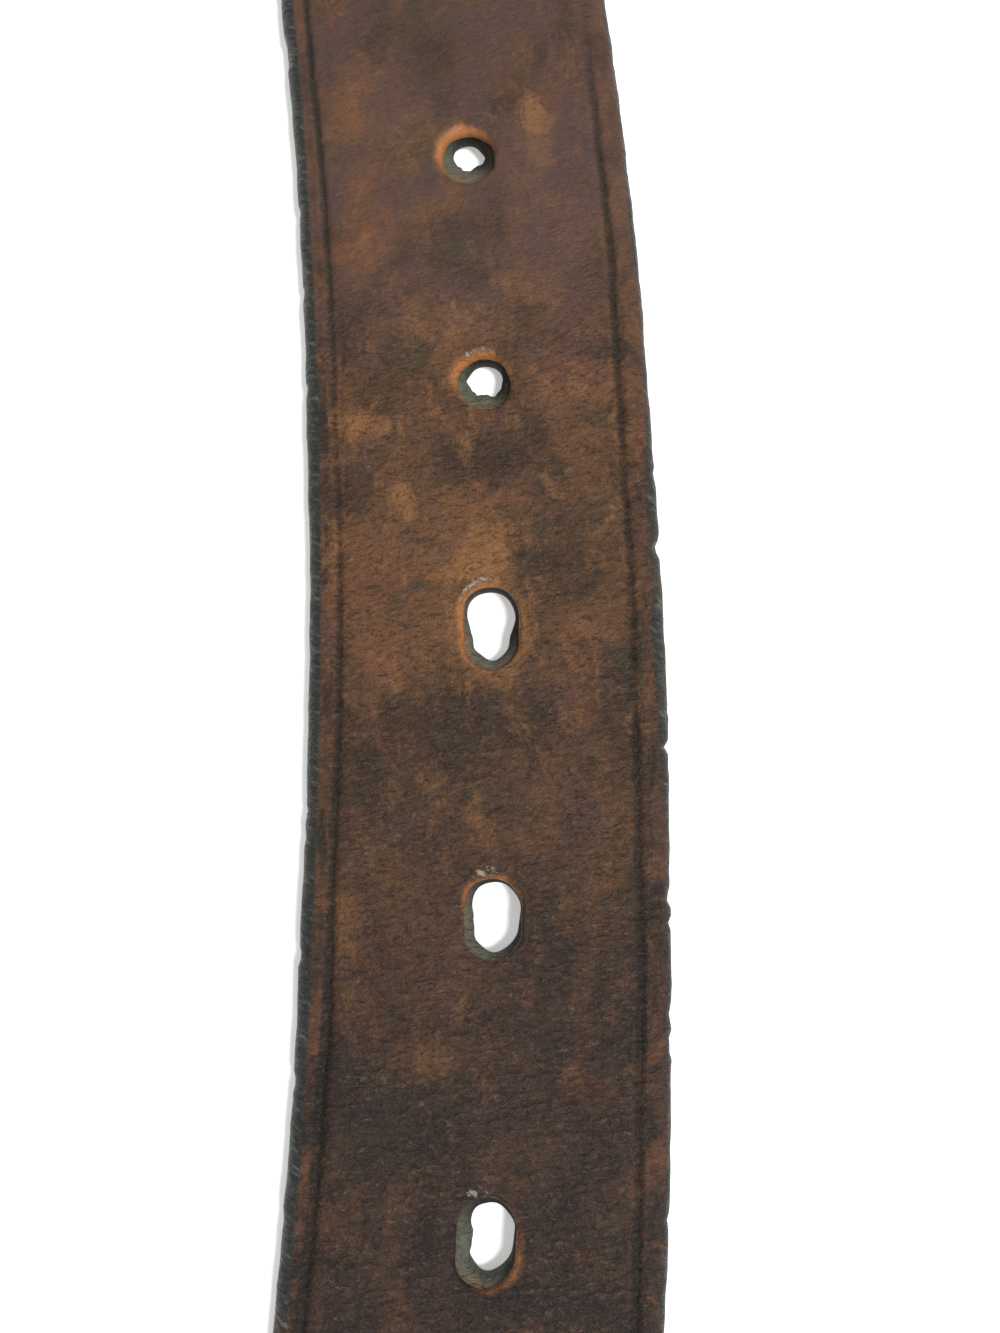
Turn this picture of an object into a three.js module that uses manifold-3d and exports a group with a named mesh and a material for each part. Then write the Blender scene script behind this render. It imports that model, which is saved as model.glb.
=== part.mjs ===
// Hanging leather strop: a whole buckled strap of oiled harness leather, lying flat with its grain
// side up. The billet end with the five punched holes points to +Y and the roller buckle is at -Y.
// The strap is one length of leather. Its skived end is folded round the heel bar of the buckle and
// held by two Chicago screws, and a leather keeper rides between them.
// Units are millimetres, +Z is up, and the origin is under the middle of the overall box.

import * as THREE from 'three';
import * as BufferGeometryUtils from 'three/addons/utils/BufferGeometryUtils.js';
import Module from 'manifold-3d';

// ---- driving dimensions -------------------------------------------------------------------------

const GAP = 0.3;                  // clearance between pieces that touch

// The middle of the overall box, measured from the heel bar of the buckle.
const BOX_MIDDLE = { x: 3.2, y: 250.4 };

// Strap
const STRAP_WIDTH = 31;
const STRAP_THICKNESS = 3.2;
const FOLD_THICKNESS = 1.8;       // skived thickness where the leather folds round the bar
const GRAIN_EDGE_RADIUS = 1.0;
const FLESH_EDGE_RADIUS = 0.6;
const CREASE_FROM_EDGE = 2.6;
const CREASE_WIDTH = 0.9;
const CREASE_DEPTH = 0.4;
const MIDDLE_HOLE_FROM_FOLD = 406; // 16 inches
const TIP_FROM_MIDDLE_HOLE = 132;
const TIP_POINT_LENGTH = 30;
const TIP_SHOULDER = 0.5;         // share of the point's length over which its sides stay full
const TIP_NOSE_LENGTH = 0.93;     // share of the point's length at which its nose rounds over
const TIP_NOSE_WIDTH = 0.36;      // share of the strap's width there
const TAIL_LENGTH = 60;
const TAIL_LIFT = 2.8;            // height of the folded tail over the surface, behind the fold
const FOLD_EASE_LENGTH = 16;      // the two layers close up over this length behind the bar
const SKIVE_LENGTH = 22;
const RAMP_START = 62;            // from here the strap comes down to the surface
const RAMP_END = 110;
const STATION_STEP = 15;          // longest facet along a straight or gently curved run
const RAMP_STEP = 6;              // longest facet where the strap comes down
const EASE_STEP = 2;              // longest facet behind the fold
const FOLD_FACETS = 12;

// The strap's set in plan: straight and curved runs from the fold, turn to the left positive.
const RUNS = [
  { length: 112, radius: Infinity },
  { length: 213, radius: -2500 },
  { length: 175, radius: 650 },
  { length: 38, radius: Infinity },
];

// Punched holes, by distance from the middle hole towards the tip. The prong has worn the lower
// three oblong along the strap. offset is how far a hole stands to the right of the strap's middle.
const PUNCH_DIAMETER = 4.8;
const HOLES = [
  { from: 44.6, offset: 0.7, length: 5.2 },
  { from: 22.4, offset: 0.6, length: 5.0 },
  { from: 0, offset: 0.4, length: 7.4 },
  { from: -24.7, offset: 0.5, length: 6.7 },
  { from: -49.8, offset: 0.9, length: 6.9 },
];

// Buckle
const WIRE_RADIUS = 2.0;
const FRAME_INSIDE_WIDTH = 33;
const HEEL_TO_FRONT = 30;         // heel bar to front bar, axis to axis
const FRONT_CORNER_RADIUS = 5;
const HEEL_CORNER_RADIUS = 2.6;
const ROLLER_RADIUS = 3.6;
const ROLLER_BORE_RADIUS = WIRE_RADIUS + GAP;
const ROLLER_LENGTH = 26;
const ROLLER_CHAMFER = 0.4;
const PRONG_EYE_RADIUS = 3.9;
const PRONG_EYE_WIDTH = 5;
const PRONG_WIDTH = 3.8;
const PRONG_HEIGHT = 3.0;
const PRONG_OVERHANG = 5;         // how far the tongue runs past the front bar's axis
const PRONG_LIFT = 0.1;           // extra clearance of the curved tongue over the roller
const PRONG_TIP_DROP = 0.5;
// The tongue's arch behind the roller: distance in front of the heel bar and height over it.
const PRONG_ARCH = [[1.6, 3.1], [6, 4.4], [12, 5.7], [21, 6.2]];
const SLOT_WIDTH = 7;
const SLOT_END = 13;              // how far the prong slot runs behind the heel bar

// Chicago screws
const SCREW_STATIONS = [24, 48];
const SCREW_HEAD_RADIUS = 4.75;
const SCREW_HEAD_HEIGHT = 1.3;
const SCREW_RIM_HEIGHT = 0.5;
const SCREW_FACE_RADIUS = 3.3;    // flat face of the slotted head, inside its chamfer
const POST_DOME = [[4.1, 0.95], [2.4, 1.25]]; // radius and height over the seat
const POST_RADIUS = 2.5;
const POST_BORE_RADIUS = 1.8;
const POST_BORE_DEPTH = 4.4;
const SCREW_SHANK_RADIUS = 1.5;
const SCREW_SHANK_REACH = 4.2;    // how far the shank stands over the tail's lift
const DRIVER_SLOT_WIDTH = 0.9;
const DRIVER_SLOT_DEPTH = 0.6;
const DRIVER_SLOT_TURN = Math.PI / 5;

// Keeper
const KEEPER_STATION = 36;
const KEEPER_WIDTH = 9;
const KEEPER_THICKNESS = 1.6;
const KEEPER_SIDE_PLAY = 0.5;
const KEEPER_HEADROOM = 4.5;      // clear height over the strap for the billet to pass
const KEEPER_CORNER_RADIUS = 2.4;
const STAPLE_HEIGHT = 0.6;
const STAPLE_WIRE = 1.2;
const STAPLE_SPAN = 7;

// ---- derived dimensions -------------------------------------------------------------------------

const FOLD_RADIUS = WIRE_RADIUS + GAP;
const BAR_HEIGHT = FOLD_THICKNESS + FOLD_RADIUS;
const TAIL_TOP = TAIL_LIFT + FOLD_THICKNESS;
const LAYER_HEIGHT = TAIL_TOP + GAP;              // flesh side of the upper layer over the tail
const LAYER_TOP = LAYER_HEIGHT + STRAP_THICKNESS;
const STRAP_LENGTH = MIDDLE_HOLE_FROM_FOLD + TIP_FROM_MIDDLE_HOLE;

const LEATHER_COLOUR = 0x5d4438;
const KEEPER_COLOUR = 0x4c372e;
const BRASS_COLOUR = 0x9a7a45;
const STEEL_COLOUR = 0x8c8a86;

// ---- solids -------------------------------------------------------------------------------------

const wasm = await Module();
wasm.setup();

function toSolid(geometry) {
  const bare = geometry.clone();
  bare.deleteAttribute('normal');
  bare.deleteAttribute('uv');
  const merged = BufferGeometryUtils.mergeVertices(bare, 1e-4);
  const vertProperties = new Float32Array(merged.attributes.position.array);
  const triVerts = new Uint32Array(merged.index.array);
  return new wasm.Manifold(new wasm.Mesh({ numProp: 3, vertProperties, triVerts }));
}

function toGeometry(solid) {
  const mesh = solid.getMesh();
  const geometry = new THREE.BufferGeometry();
  geometry.setAttribute('position', new THREE.BufferAttribute(mesh.vertProperties, 3));
  geometry.setIndex(new THREE.BufferAttribute(mesh.triVerts, 1));
  geometry.computeVertexNormals();
  return geometry;
}

function cut(geometry, cutters) {
  let solid = toSolid(geometry);
  for (const cutter of cutters) {
    solid = solid.subtract(toSolid(cutter));
  }
  return toGeometry(solid);
}

function join(geometries) {
  let solid = toSolid(geometries[0]);
  for (const geometry of geometries.slice(1)) {
    solid = solid.add(toSolid(geometry));
  }
  return toGeometry(solid);
}

function ease(from, to, amount) {
  return from + (to - from) * THREE.MathUtils.smoothstep(amount, 0, 1);
}

// An upright prism of a plan outline, from z = bottom to z = top.
function prism(shape, bottom, top, curveSegments = 8) {
  const geometry = new THREE.ExtrudeGeometry(shape, {
    depth: top - bottom,
    bevelEnabled: false,
    curveSegments,
  });
  return geometry.translate(0, 0, bottom);
}

// A plan outline with straight sides and half-round ends, its length along Y.
function stadium(width, length) {
  const radius = width / 2;
  const half = Math.max(length / 2 - radius, 0.01);
  const shape = new THREE.Shape();
  shape.absarc(0, half, radius, 0, Math.PI);
  shape.absarc(0, -half, radius, Math.PI, 2 * Math.PI);
  shape.closePath();
  return shape;
}

// A body turned about a vertical axis, from [radius, height] points.
function turned(points, segments = 20) {
  const profile = points.map(([radius, height]) => new THREE.Vector2(radius, height));
  return new THREE.LatheGeometry(profile, segments).rotateX(Math.PI / 2);
}

function addMesh(group, name, geometry, color, roughness, metalness) {
  const material = new THREE.MeshStandardMaterial({ color, roughness, metalness });
  const mesh = new THREE.Mesh(geometry, material);
  mesh.name = name;
  group.add(mesh);
  return mesh;
}

// ---- strap --------------------------------------------------------------------------------------

// Equal steps from one distance to another, none longer than the longest, without the first.
function spaced(from, to, longest) {
  const count = Math.ceil(Math.abs(to - from) / longest);
  return Array.from({ length: count }, (_, i) => from + ((to - from) * (i + 1)) / count);
}

// Where the middle of the strap is in plan at a distance from the fold, and which way it heads.
function planPlace(distance) {
  const place = { x: 0, y: 0, heading: 0 };
  let left = distance;
  for (const run of RUNS) {
    const length = Math.min(left, run.length);
    const turn = length / run.radius;
    const middle = place.heading + turn / 2;
    const chord = turn === 0 ? length : 2 * run.radius * Math.sin(turn / 2);
    place.x -= chord * Math.sin(middle);
    place.y += chord * Math.cos(middle);
    place.heading += turn;
    left -= length;
  }
  return place;
}

// One place on the flesh side of the strap: its point, the way the strap runs there and its width
// direction. The normal points out of the grain side.
function station(x, y, z, heading, along, thickness) {
  const across = new THREE.Vector3(Math.cos(heading), Math.sin(heading), 0);
  const normal = new THREE.Vector3().crossVectors(across, along).normalize();
  return { point: new THREE.Vector3(x, y, z), across, normal, thickness };
}

function tailHeight(y) {
  return FOLD_THICKNESS + ease(0, TAIL_LIFT, y / FOLD_EASE_LENGTH);
}

// How steeply a height changes at a place along the strap.
function riseOf(height, y) {
  const step = 0.1;
  return (height(y + step) - height(y - step)) / (2 * step);
}

function tailStations() {
  const places = [
    TAIL_LENGTH,
    ...spaced(TAIL_LENGTH, FOLD_EASE_LENGTH, STATION_STEP),
    ...spaced(FOLD_EASE_LENGTH, EASE_STEP, EASE_STEP),
  ];
  return places.map((y) => {
    const along = new THREE.Vector3(0, -1, -riseOf(tailHeight, y));
    return station(0, y, tailHeight(y), 0, along, FOLD_THICKNESS);
  });
}

function foldStations() {
  const stations = [];
  for (let i = 0; i <= FOLD_FACETS; i += 1) {
    const angle = -Math.PI / 2 - (i / FOLD_FACETS) * Math.PI;
    const y = FOLD_RADIUS * Math.cos(angle);
    const z = BAR_HEIGHT + FOLD_RADIUS * Math.sin(angle);
    const along = new THREE.Vector3(0, Math.sin(angle), -Math.cos(angle));
    stations.push(station(0, y, z, 0, along, FOLD_THICKNESS));
  }
  return stations;
}

function layerHeight(y) {
  const closing = ease(BAR_HEIGHT + FOLD_RADIUS, LAYER_HEIGHT, y / FOLD_EASE_LENGTH);
  const amount = (y - RAMP_START) / (RAMP_END - RAMP_START);
  return y < RAMP_START ? closing : ease(LAYER_HEIGHT, 0, amount);
}

function layerStations() {
  const raised = [
    ...spaced(0, FOLD_EASE_LENGTH, EASE_STEP),
    ...spaced(FOLD_EASE_LENGTH, SKIVE_LENGTH, EASE_STEP),
    ...spaced(SKIVE_LENGTH, RAMP_START, STATION_STEP),
    ...spaced(RAMP_START, RAMP_END, RAMP_STEP),
  ];
  const stations = raised.map((y) => {
    const thickness = ease(FOLD_THICKNESS, STRAP_THICKNESS, y / SKIVE_LENGTH);
    const along = new THREE.Vector3(0, 1, riseOf(layerHeight, y));
    return station(0, y, layerHeight(y), 0, along, thickness);
  });
  let from = RAMP_END;
  let end = 0;
  for (const run of RUNS) {
    end += run.length;
    for (const distance of spaced(from, end, STATION_STEP)) {
      const place = planPlace(distance);
      const along = new THREE.Vector3(-Math.sin(place.heading), Math.cos(place.heading), 0);
      stations.push(station(place.x, place.y, 0, place.heading, along, STRAP_THICKNESS));
    }
    from = end;
  }
  return stations;
}

// The strap's cross-section, flesh side at y = 0 and grain side up, with its two creases.
function strapSection() {
  const half = STRAP_WIDTH / 2;
  const crease = half - CREASE_FROM_EDGE;
  const top = STRAP_THICKNESS;
  const shape = new THREE.Shape();
  shape.absarc(half - FLESH_EDGE_RADIUS, FLESH_EDGE_RADIUS, FLESH_EDGE_RADIUS, -Math.PI / 2, 0);
  shape.absarc(half - GRAIN_EDGE_RADIUS, top - GRAIN_EDGE_RADIUS, GRAIN_EDGE_RADIUS, 0, Math.PI / 2);
  for (const side of [crease, -crease]) {
    shape.lineTo(side + CREASE_WIDTH / 2, top);
    shape.lineTo(side, top - CREASE_DEPTH);
    shape.lineTo(side - CREASE_WIDTH / 2, top);
  }
  shape.absarc(-half + GRAIN_EDGE_RADIUS, top - GRAIN_EDGE_RADIUS, GRAIN_EDGE_RADIUS,
    Math.PI / 2, Math.PI);
  shape.absarc(-half + FLESH_EDGE_RADIUS, FLESH_EDGE_RADIUS, FLESH_EDGE_RADIUS,
    Math.PI, 1.5 * Math.PI);
  shape.closePath();
  return shape;
}

// The strap before it is punched: its section carried along every station.
function strapBlank() {
  const stations = [...tailStations(), ...foldStations(), ...layerStations()];
  const steps = stations.length - 1;
  const geometry = new THREE.ExtrudeGeometry(strapSection(), {
    steps,
    depth: steps,
    bevelEnabled: false,
    curveSegments: 2,
  });
  const position = geometry.attributes.position;
  for (let i = 0; i < position.count; i += 1) {
    const { point, across, normal, thickness } = stations[Math.round(position.getZ(i))];
    const height = (position.getY(i) * thickness) / STRAP_THICKNESS;
    const moved = point.clone();
    moved.addScaledVector(across, -position.getX(i));
    moved.addScaledVector(normal, height);
    position.setXYZ(i, moved.x, moved.y, moved.z);
  }
  return geometry;
}

const CUT_BOTTOM = -2;
const CUT_TOP = 16;

function holeCutter({ from, offset, length }) {
  const place = planPlace(MIDDLE_HOLE_FROM_FOLD + from);
  const x = place.x + offset * Math.cos(place.heading);
  const y = place.y + offset * Math.sin(place.heading);
  const cutter = prism(stadium(PUNCH_DIAMETER, length), CUT_BOTTOM, CUT_TOP);
  return cutter.rotateZ(place.heading).translate(x, y, 0);
}

// Everything beyond the rounded point of the billet.
function tipCutter() {
  const start = planPlace(STRAP_LENGTH - TIP_POINT_LENGTH);
  const side = STRAP_WIDTH / 2 + GAP;
  const shoulder = TIP_SHOULDER * TIP_POINT_LENGTH;
  const nose = TIP_NOSE_LENGTH * TIP_POINT_LENGTH;
  const noseSide = TIP_NOSE_WIDTH * side;
  const beyond = STRAP_WIDTH;
  const shape = new THREE.Shape();
  shape.moveTo(-beyond, 0);
  shape.lineTo(-side, 0);
  shape.bezierCurveTo(-side, shoulder, -noseSide, nose, 0, TIP_POINT_LENGTH - GAP);
  shape.bezierCurveTo(noseSide, nose, side, shoulder, side, 0);
  shape.lineTo(beyond, 0);
  shape.lineTo(beyond, 2 * TIP_POINT_LENGTH);
  shape.lineTo(-beyond, 2 * TIP_POINT_LENGTH);
  shape.closePath();
  const cutter = prism(shape, CUT_BOTTOM, CUT_TOP, 10);
  return cutter.rotateZ(start.heading).translate(start.x, start.y, 0);
}

function prongSlotCutter() {
  const length = 2 * SLOT_END;
  return prism(stadium(SLOT_WIDTH, length), CUT_BOTTOM, CUT_TOP);
}

function screwHoleCutter(y) {
  const hole = stadium(2 * (POST_RADIUS + GAP), 0);
  return prism(hole, CUT_BOTTOM, CUT_TOP).translate(0, y, 0);
}

function strapGeometry() {
  return cut(strapBlank(), [
    ...HOLES.map(holeCutter),
    ...SCREW_STATIONS.map(screwHoleCutter),
    prongSlotCutter(),
    tipCutter(),
  ]);
}

// ---- buckle -------------------------------------------------------------------------------------

// The middle line of the buckle's wire: a rounded rectangle in plan, once round from the heel bar.
function framePath() {
  const halfWidth = FRAME_INSIDE_WIDTH / 2 + WIRE_RADIUS;
  const heelX = halfWidth - HEEL_CORNER_RADIUS;
  const heelY = -HEEL_CORNER_RADIUS;
  const frontX = halfWidth - FRONT_CORNER_RADIUS;
  const frontY = FRONT_CORNER_RADIUS - HEEL_TO_FRONT;
  const quarter = Math.PI / 2;
  const path = new THREE.Path();
  path.moveTo(0, 0);
  path.absarc(-heelX, heelY, HEEL_CORNER_RADIUS, quarter, 2 * quarter);
  path.absarc(-frontX, frontY, FRONT_CORNER_RADIUS, 2 * quarter, 3 * quarter);
  path.absarc(frontX, frontY, FRONT_CORNER_RADIUS, 3 * quarter, 4 * quarter);
  path.absarc(heelX, heelY, HEEL_CORNER_RADIUS, 0, quarter);
  const points = path.getPoints(5);
  return points.filter((point, i) => i === 0 || point.distanceTo(points[i - 1]) > 0.01);
}

// The frame is one bent and welded wire: a torus whose rings stand along the wire's path.
function frameGeometry() {
  const points = framePath();
  const count = points.length;
  const sides = 12;
  const geometry = new THREE.TorusGeometry(2 * WIRE_RADIUS, WIRE_RADIUS, sides, count);
  const position = geometry.attributes.position;
  for (let side = 0; side <= sides; side += 1) {
    for (let ring = 0; ring <= count; ring += 1) {
      const here = points[ring % count];
      const before = points[(ring + count - 1) % count];
      const after = points[(ring + 1) % count];
      const along = after.clone().sub(here).normalize().add(here.clone().sub(before).normalize());
      along.normalize();
      const turn = (side / sides) * 2 * Math.PI;
      const out = WIRE_RADIUS * Math.cos(turn);
      const up = WIRE_RADIUS * Math.sin(turn);
      const vertex = side * (count + 1) + ring;
      position.setXYZ(vertex, here.x + along.y * out, here.y - along.x * out, up);
    }
  }
  return toGeometry(toSolid(geometry));
}

function rollerGeometry() {
  const half = ROLLER_LENGTH / 2;
  const tube = turned([
    [ROLLER_BORE_RADIUS, -half],
    [ROLLER_RADIUS - ROLLER_CHAMFER, -half],
    [ROLLER_RADIUS, -half + ROLLER_CHAMFER],
    [ROLLER_RADIUS, half - ROLLER_CHAMFER],
    [ROLLER_RADIUS - ROLLER_CHAMFER, half],
    [ROLLER_BORE_RADIUS, half],
    [ROLLER_BORE_RADIUS, -half],
  ]);
  return tube.rotateY(Math.PI / 2);
}

// The prong: an eye round the heel bar and a tongue that lies on the roller.
function prongGeometry() {
  const eyeHalf = PRONG_EYE_WIDTH / 2;
  const eye = turned([
    [FOLD_RADIUS, -eyeHalf],
    [PRONG_EYE_RADIUS, -eyeHalf],
    [PRONG_EYE_RADIUS, eyeHalf],
    [FOLD_RADIUS, eyeHalf],
    [FOLD_RADIUS, -eyeHalf],
  ]).rotateY(Math.PI / 2);
  const onRoller = ROLLER_RADIUS + GAP + PRONG_HEIGHT / 2;
  const spine = new THREE.CatmullRomCurve3([
    ...PRONG_ARCH.map(([distance, height]) => new THREE.Vector3(0, -distance, height)),
    new THREE.Vector3(0, -HEEL_TO_FRONT, onRoller + PRONG_LIFT),
    new THREE.Vector3(0, -HEEL_TO_FRONT - PRONG_OVERHANG, onRoller - PRONG_TIP_DROP),
  ]);
  const section = new THREE.Shape();
  section.absellipse(0, 0, PRONG_HEIGHT / 2, PRONG_WIDTH / 2, 0, 2 * Math.PI);
  const tongue = new THREE.ExtrudeGeometry(section, {
    steps: 16,
    extrudePath: spine,
    curveSegments: 6,
  });
  return join([eye, tongue]);
}

// ---- fasteners and keeper -----------------------------------------------------------------------

// Chicago screw post: a domed head on the grain side and a tapped barrel through both layers.
function postGeometry() {
  const seat = LAYER_TOP + GAP;
  const end = TAIL_LIFT + GAP;
  return turned([
    [0, end + POST_BORE_DEPTH],
    [POST_BORE_RADIUS, end + POST_BORE_DEPTH],
    [POST_BORE_RADIUS, end],
    [POST_RADIUS, end],
    [POST_RADIUS, seat],
    [SCREW_HEAD_RADIUS, seat],
    [SCREW_HEAD_RADIUS, seat + SCREW_RIM_HEIGHT],
    ...POST_DOME.map(([radius, height]) => [radius, seat + height]),
    [0, seat + SCREW_HEAD_HEIGHT],
  ]);
}

// Chicago screw: a slotted head on the back and a shank in the post's barrel.
function screwGeometry() {
  const seat = TAIL_LIFT - GAP;
  const bottom = seat - SCREW_HEAD_HEIGHT;
  const shankTop = TAIL_LIFT + SCREW_SHANK_REACH;
  const body = turned([
    [0, bottom],
    [SCREW_FACE_RADIUS, bottom],
    [SCREW_HEAD_RADIUS, bottom + SCREW_RIM_HEIGHT],
    [SCREW_HEAD_RADIUS, seat],
    [SCREW_SHANK_RADIUS, seat],
    [SCREW_SHANK_RADIUS, shankTop],
    [0, shankTop],
  ]);
  const slotLength = 3 * SCREW_HEAD_RADIUS;
  const slot = new THREE.BoxGeometry(slotLength, DRIVER_SLOT_WIDTH, 2 * DRIVER_SLOT_DEPTH);
  slot.rotateZ(DRIVER_SLOT_TURN);
  slot.translate(0, 0, bottom);
  return cut(body, [slot]);
}

// A rounded rectangle standing on the origin's X axis, as a path for a shape or its window.
function roundedRectangle(path, halfWidth, bottom, top, radius) {
  path.moveTo(0, bottom);
  path.lineTo(halfWidth - radius, bottom);
  path.absarc(halfWidth - radius, bottom + radius, radius, -Math.PI / 2, 0);
  path.absarc(halfWidth - radius, top - radius, radius, 0, Math.PI / 2);
  path.absarc(-halfWidth + radius, top - radius, radius, Math.PI / 2, Math.PI);
  path.absarc(-halfWidth + radius, bottom + radius, radius, Math.PI, 1.5 * Math.PI);
  path.closePath();
  return path;
}

const KEEPER_BOTTOM = STAPLE_HEIGHT + GAP;
const KEEPER_TOP = LAYER_TOP + KEEPER_HEADROOM + KEEPER_THICKNESS;
const STAPLE_LEG = STAPLE_SPAN / 2 - STAPLE_WIRE / 2;

// The keeper: one leather strip bent into a loop, its ends butted underneath.
function keeperGeometry() {
  const inside = STRAP_WIDTH / 2 + KEEPER_SIDE_PLAY;
  const loop = roundedRectangle(new THREE.Shape(), inside + KEEPER_THICKNESS, KEEPER_BOTTOM,
    KEEPER_TOP, KEEPER_CORNER_RADIUS);
  loop.holes.push(roundedRectangle(new THREE.Path(), inside, KEEPER_BOTTOM + KEEPER_THICKNESS,
    KEEPER_TOP - KEEPER_THICKNESS, KEEPER_CORNER_RADIUS - KEEPER_THICKNESS));
  const ring = new THREE.ExtrudeGeometry(loop, {
    depth: KEEPER_WIDTH,
    bevelEnabled: false,
    curveSegments: 5,
  });
  ring.rotateX(Math.PI / 2).translate(0, KEEPER_WIDTH / 2, 0);
  const joint = new THREE.BoxGeometry(GAP, 2 * KEEPER_WIDTH, 2 * KEEPER_THICKNESS);
  joint.translate(0, 0, KEEPER_BOTTOM + KEEPER_THICKNESS / 2);
  const legHoles = [-STAPLE_LEG, STAPLE_LEG].map((x) => {
    const side = STAPLE_WIRE + 2 * GAP;
    return new THREE.BoxGeometry(side, side, 2 * KEEPER_THICKNESS).translate(x, 0, KEEPER_BOTTOM);
  });
  return cut(ring, [joint, ...legHoles]);
}

// The staple across the keeper's joint, its crown underneath and its legs driven into the leather.
function stapleGeometry() {
  const crown = new THREE.BoxGeometry(STAPLE_SPAN, STAPLE_WIRE, STAPLE_HEIGHT);
  crown.translate(0, 0, STAPLE_HEIGHT / 2);
  const legHeight = STAPLE_HEIGHT + KEEPER_THICKNESS;
  const legs = [-STAPLE_LEG, STAPLE_LEG].map((x) => (
    new THREE.BoxGeometry(STAPLE_WIRE, STAPLE_WIRE, legHeight).translate(x, 0, legHeight / 2)
  ));
  return join([crown, ...legs]);
}

// ---- assembly -----------------------------------------------------------------------------------

const strop = new THREE.Group();
const placed = new THREE.Group();
placed.position.set(-BOX_MIDDLE.x, -BOX_MIDDLE.y, 0);
strop.add(placed);

addMesh(placed, 'strap', strapGeometry(), LEATHER_COLOUR, 0.6, 0);

const buckle = new THREE.Group();
buckle.position.set(0, 0, BAR_HEIGHT);
placed.add(buckle);
addMesh(buckle, 'buckle_frame', frameGeometry(), BRASS_COLOUR, 0.4, 1);
addMesh(buckle, 'buckle_prong', prongGeometry(), BRASS_COLOUR, 0.4, 1);
const roller = addMesh(buckle, 'buckle_roller', rollerGeometry(), BRASS_COLOUR, 0.45, 1);
roller.position.set(0, -HEEL_TO_FRONT, 0);

SCREW_STATIONS.forEach((y, i) => {
  const post = addMesh(placed, `chicago_post_${i + 1}`, postGeometry(), BRASS_COLOUR, 0.4, 1);
  post.position.set(0, y, 0);
  const screw = addMesh(placed, `chicago_screw_${i + 1}`, screwGeometry(), BRASS_COLOUR, 0.5, 1);
  screw.position.set(0, y, 0);
});

const keeper = new THREE.Group();
keeper.position.set(0, KEEPER_STATION, 0);
placed.add(keeper);
addMesh(keeper, 'keeper_loop', keeperGeometry(), KEEPER_COLOUR, 0.6, 0);
addMesh(keeper, 'keeper_staple', stapleGeometry(), STEEL_COLOUR, 0.4, 1);

export default strop;
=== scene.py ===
# The visual model of a hanging leather strop: one strap of old oiled harness leather with five worn
# holes, a roller buckle held in its folded end by two Chicago screws, and a stapled leather keeper.
import math
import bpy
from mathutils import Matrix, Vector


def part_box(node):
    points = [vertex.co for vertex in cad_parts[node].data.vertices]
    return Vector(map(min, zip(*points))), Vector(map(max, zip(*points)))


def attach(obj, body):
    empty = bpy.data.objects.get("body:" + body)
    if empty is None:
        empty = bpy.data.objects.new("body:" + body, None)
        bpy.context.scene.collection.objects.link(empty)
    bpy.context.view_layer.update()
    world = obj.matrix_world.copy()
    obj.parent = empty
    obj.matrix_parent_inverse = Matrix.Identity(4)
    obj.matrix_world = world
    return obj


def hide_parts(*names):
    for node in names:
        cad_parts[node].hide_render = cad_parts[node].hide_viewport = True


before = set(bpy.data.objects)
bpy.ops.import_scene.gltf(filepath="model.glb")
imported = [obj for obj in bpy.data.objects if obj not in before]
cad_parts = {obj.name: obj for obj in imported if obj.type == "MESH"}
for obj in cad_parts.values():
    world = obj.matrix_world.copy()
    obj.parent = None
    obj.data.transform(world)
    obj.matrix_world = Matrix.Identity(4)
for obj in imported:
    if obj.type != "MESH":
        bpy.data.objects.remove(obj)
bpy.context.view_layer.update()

from types import SimpleNamespace

import bpy
import numpy as np
from mathutils import Euler, Matrix, Vector, noise

# ---- driving dimensions, in millimetres ----

MM = 0.001
HALF_WIDTH = 15.5
STRAP_THICKNESS = 3.2
FOLD_THICKNESS = 1.8
FOLD_RADIUS = 2.3
FOLD_ARC = math.pi * FOLD_RADIUS
BAR_HEIGHT = FOLD_THICKNESS + FOLD_RADIUS
TAIL_LENGTH = 60
TAIL_LIFT = 2.8
FOLD_EASE_LENGTH = 16
SKIVE_LENGTH = 22
LAYER_HEIGHT = 4.9
RAMP_START = 62
RAMP_END = 110
MIDDLE_HOLE = 406
TIP_START = 508
TIP_LENGTH = 30
RUNS = [(112, math.inf), (213, -2500), (175, 650), (38, math.inf)]
HOLE_RADIUS = 2.4
SLOT_RADIUS = 3.5
SLOT_END = 13
SCREW_STATIONS = (24, 48)
SCREW_HOLE_RADIUS = 2.8
BUCKLE_INSIDE = 33
WIRE_RADIUS = 2.0
HEEL_TO_FRONT = 30
KEEPER_STATION = 36
DING_DEPTH = 0.025  # a share of the frame's wire
DRIVER_SLOT_WIDTH = 0.9
DRIVER_SLOT_DEPTH = 0.6
DRIVER_SLOT_TURN = math.pi / 5
SCREW_SHARP = 30  # edges turned more than this are sharp, in degrees

# The five punched holes, from the tip towards the buckle. Each line has one value for each hole.
HOLES_ALONG = (44.6, 22.4, 0, -24.7, -49.8)  # from the middle hole
HOLES = {
    "x": (0.7, 0.6, 0.4, 0.5, 0.9),
    "length": (5.2, 5.0, 7.4, 6.7, 6.9),
    "bevel": (0.85, 0.75, 0.55, 0.45, 0.45),  # how deep the prong has worn the rim
    "worn": (125, 120, 160, 110, -20),  # the direction of the deepest wear, in degrees from +X
    "lean": (0.55, 0.4, 0.2, 0, 0),  # how far the wall leans towards the tip
    "shade_skirt": (2.3, 1.7, 1.1, 0.9, 1.4),  # how far the wall's grey skirt closes the hole in: a sheet of painted shade for the shaded floor under the hole
    "shade_skirt_at": (-100, -105, -95, -150, 185),  # on which side
    "tan": (1, 0.95, 0.8, 0.6, 0.6),  # 0 to 1, how pale the rubbed rim is
    "fan": (0.4, 0.5, 1, 0.25, 0.15),  # how much the grain beyond the hole is rubbed
    "stain": (0.8, 1, 0.5, 0.7, 0.6),  # how dark the oil on its buckle side is
}
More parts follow.
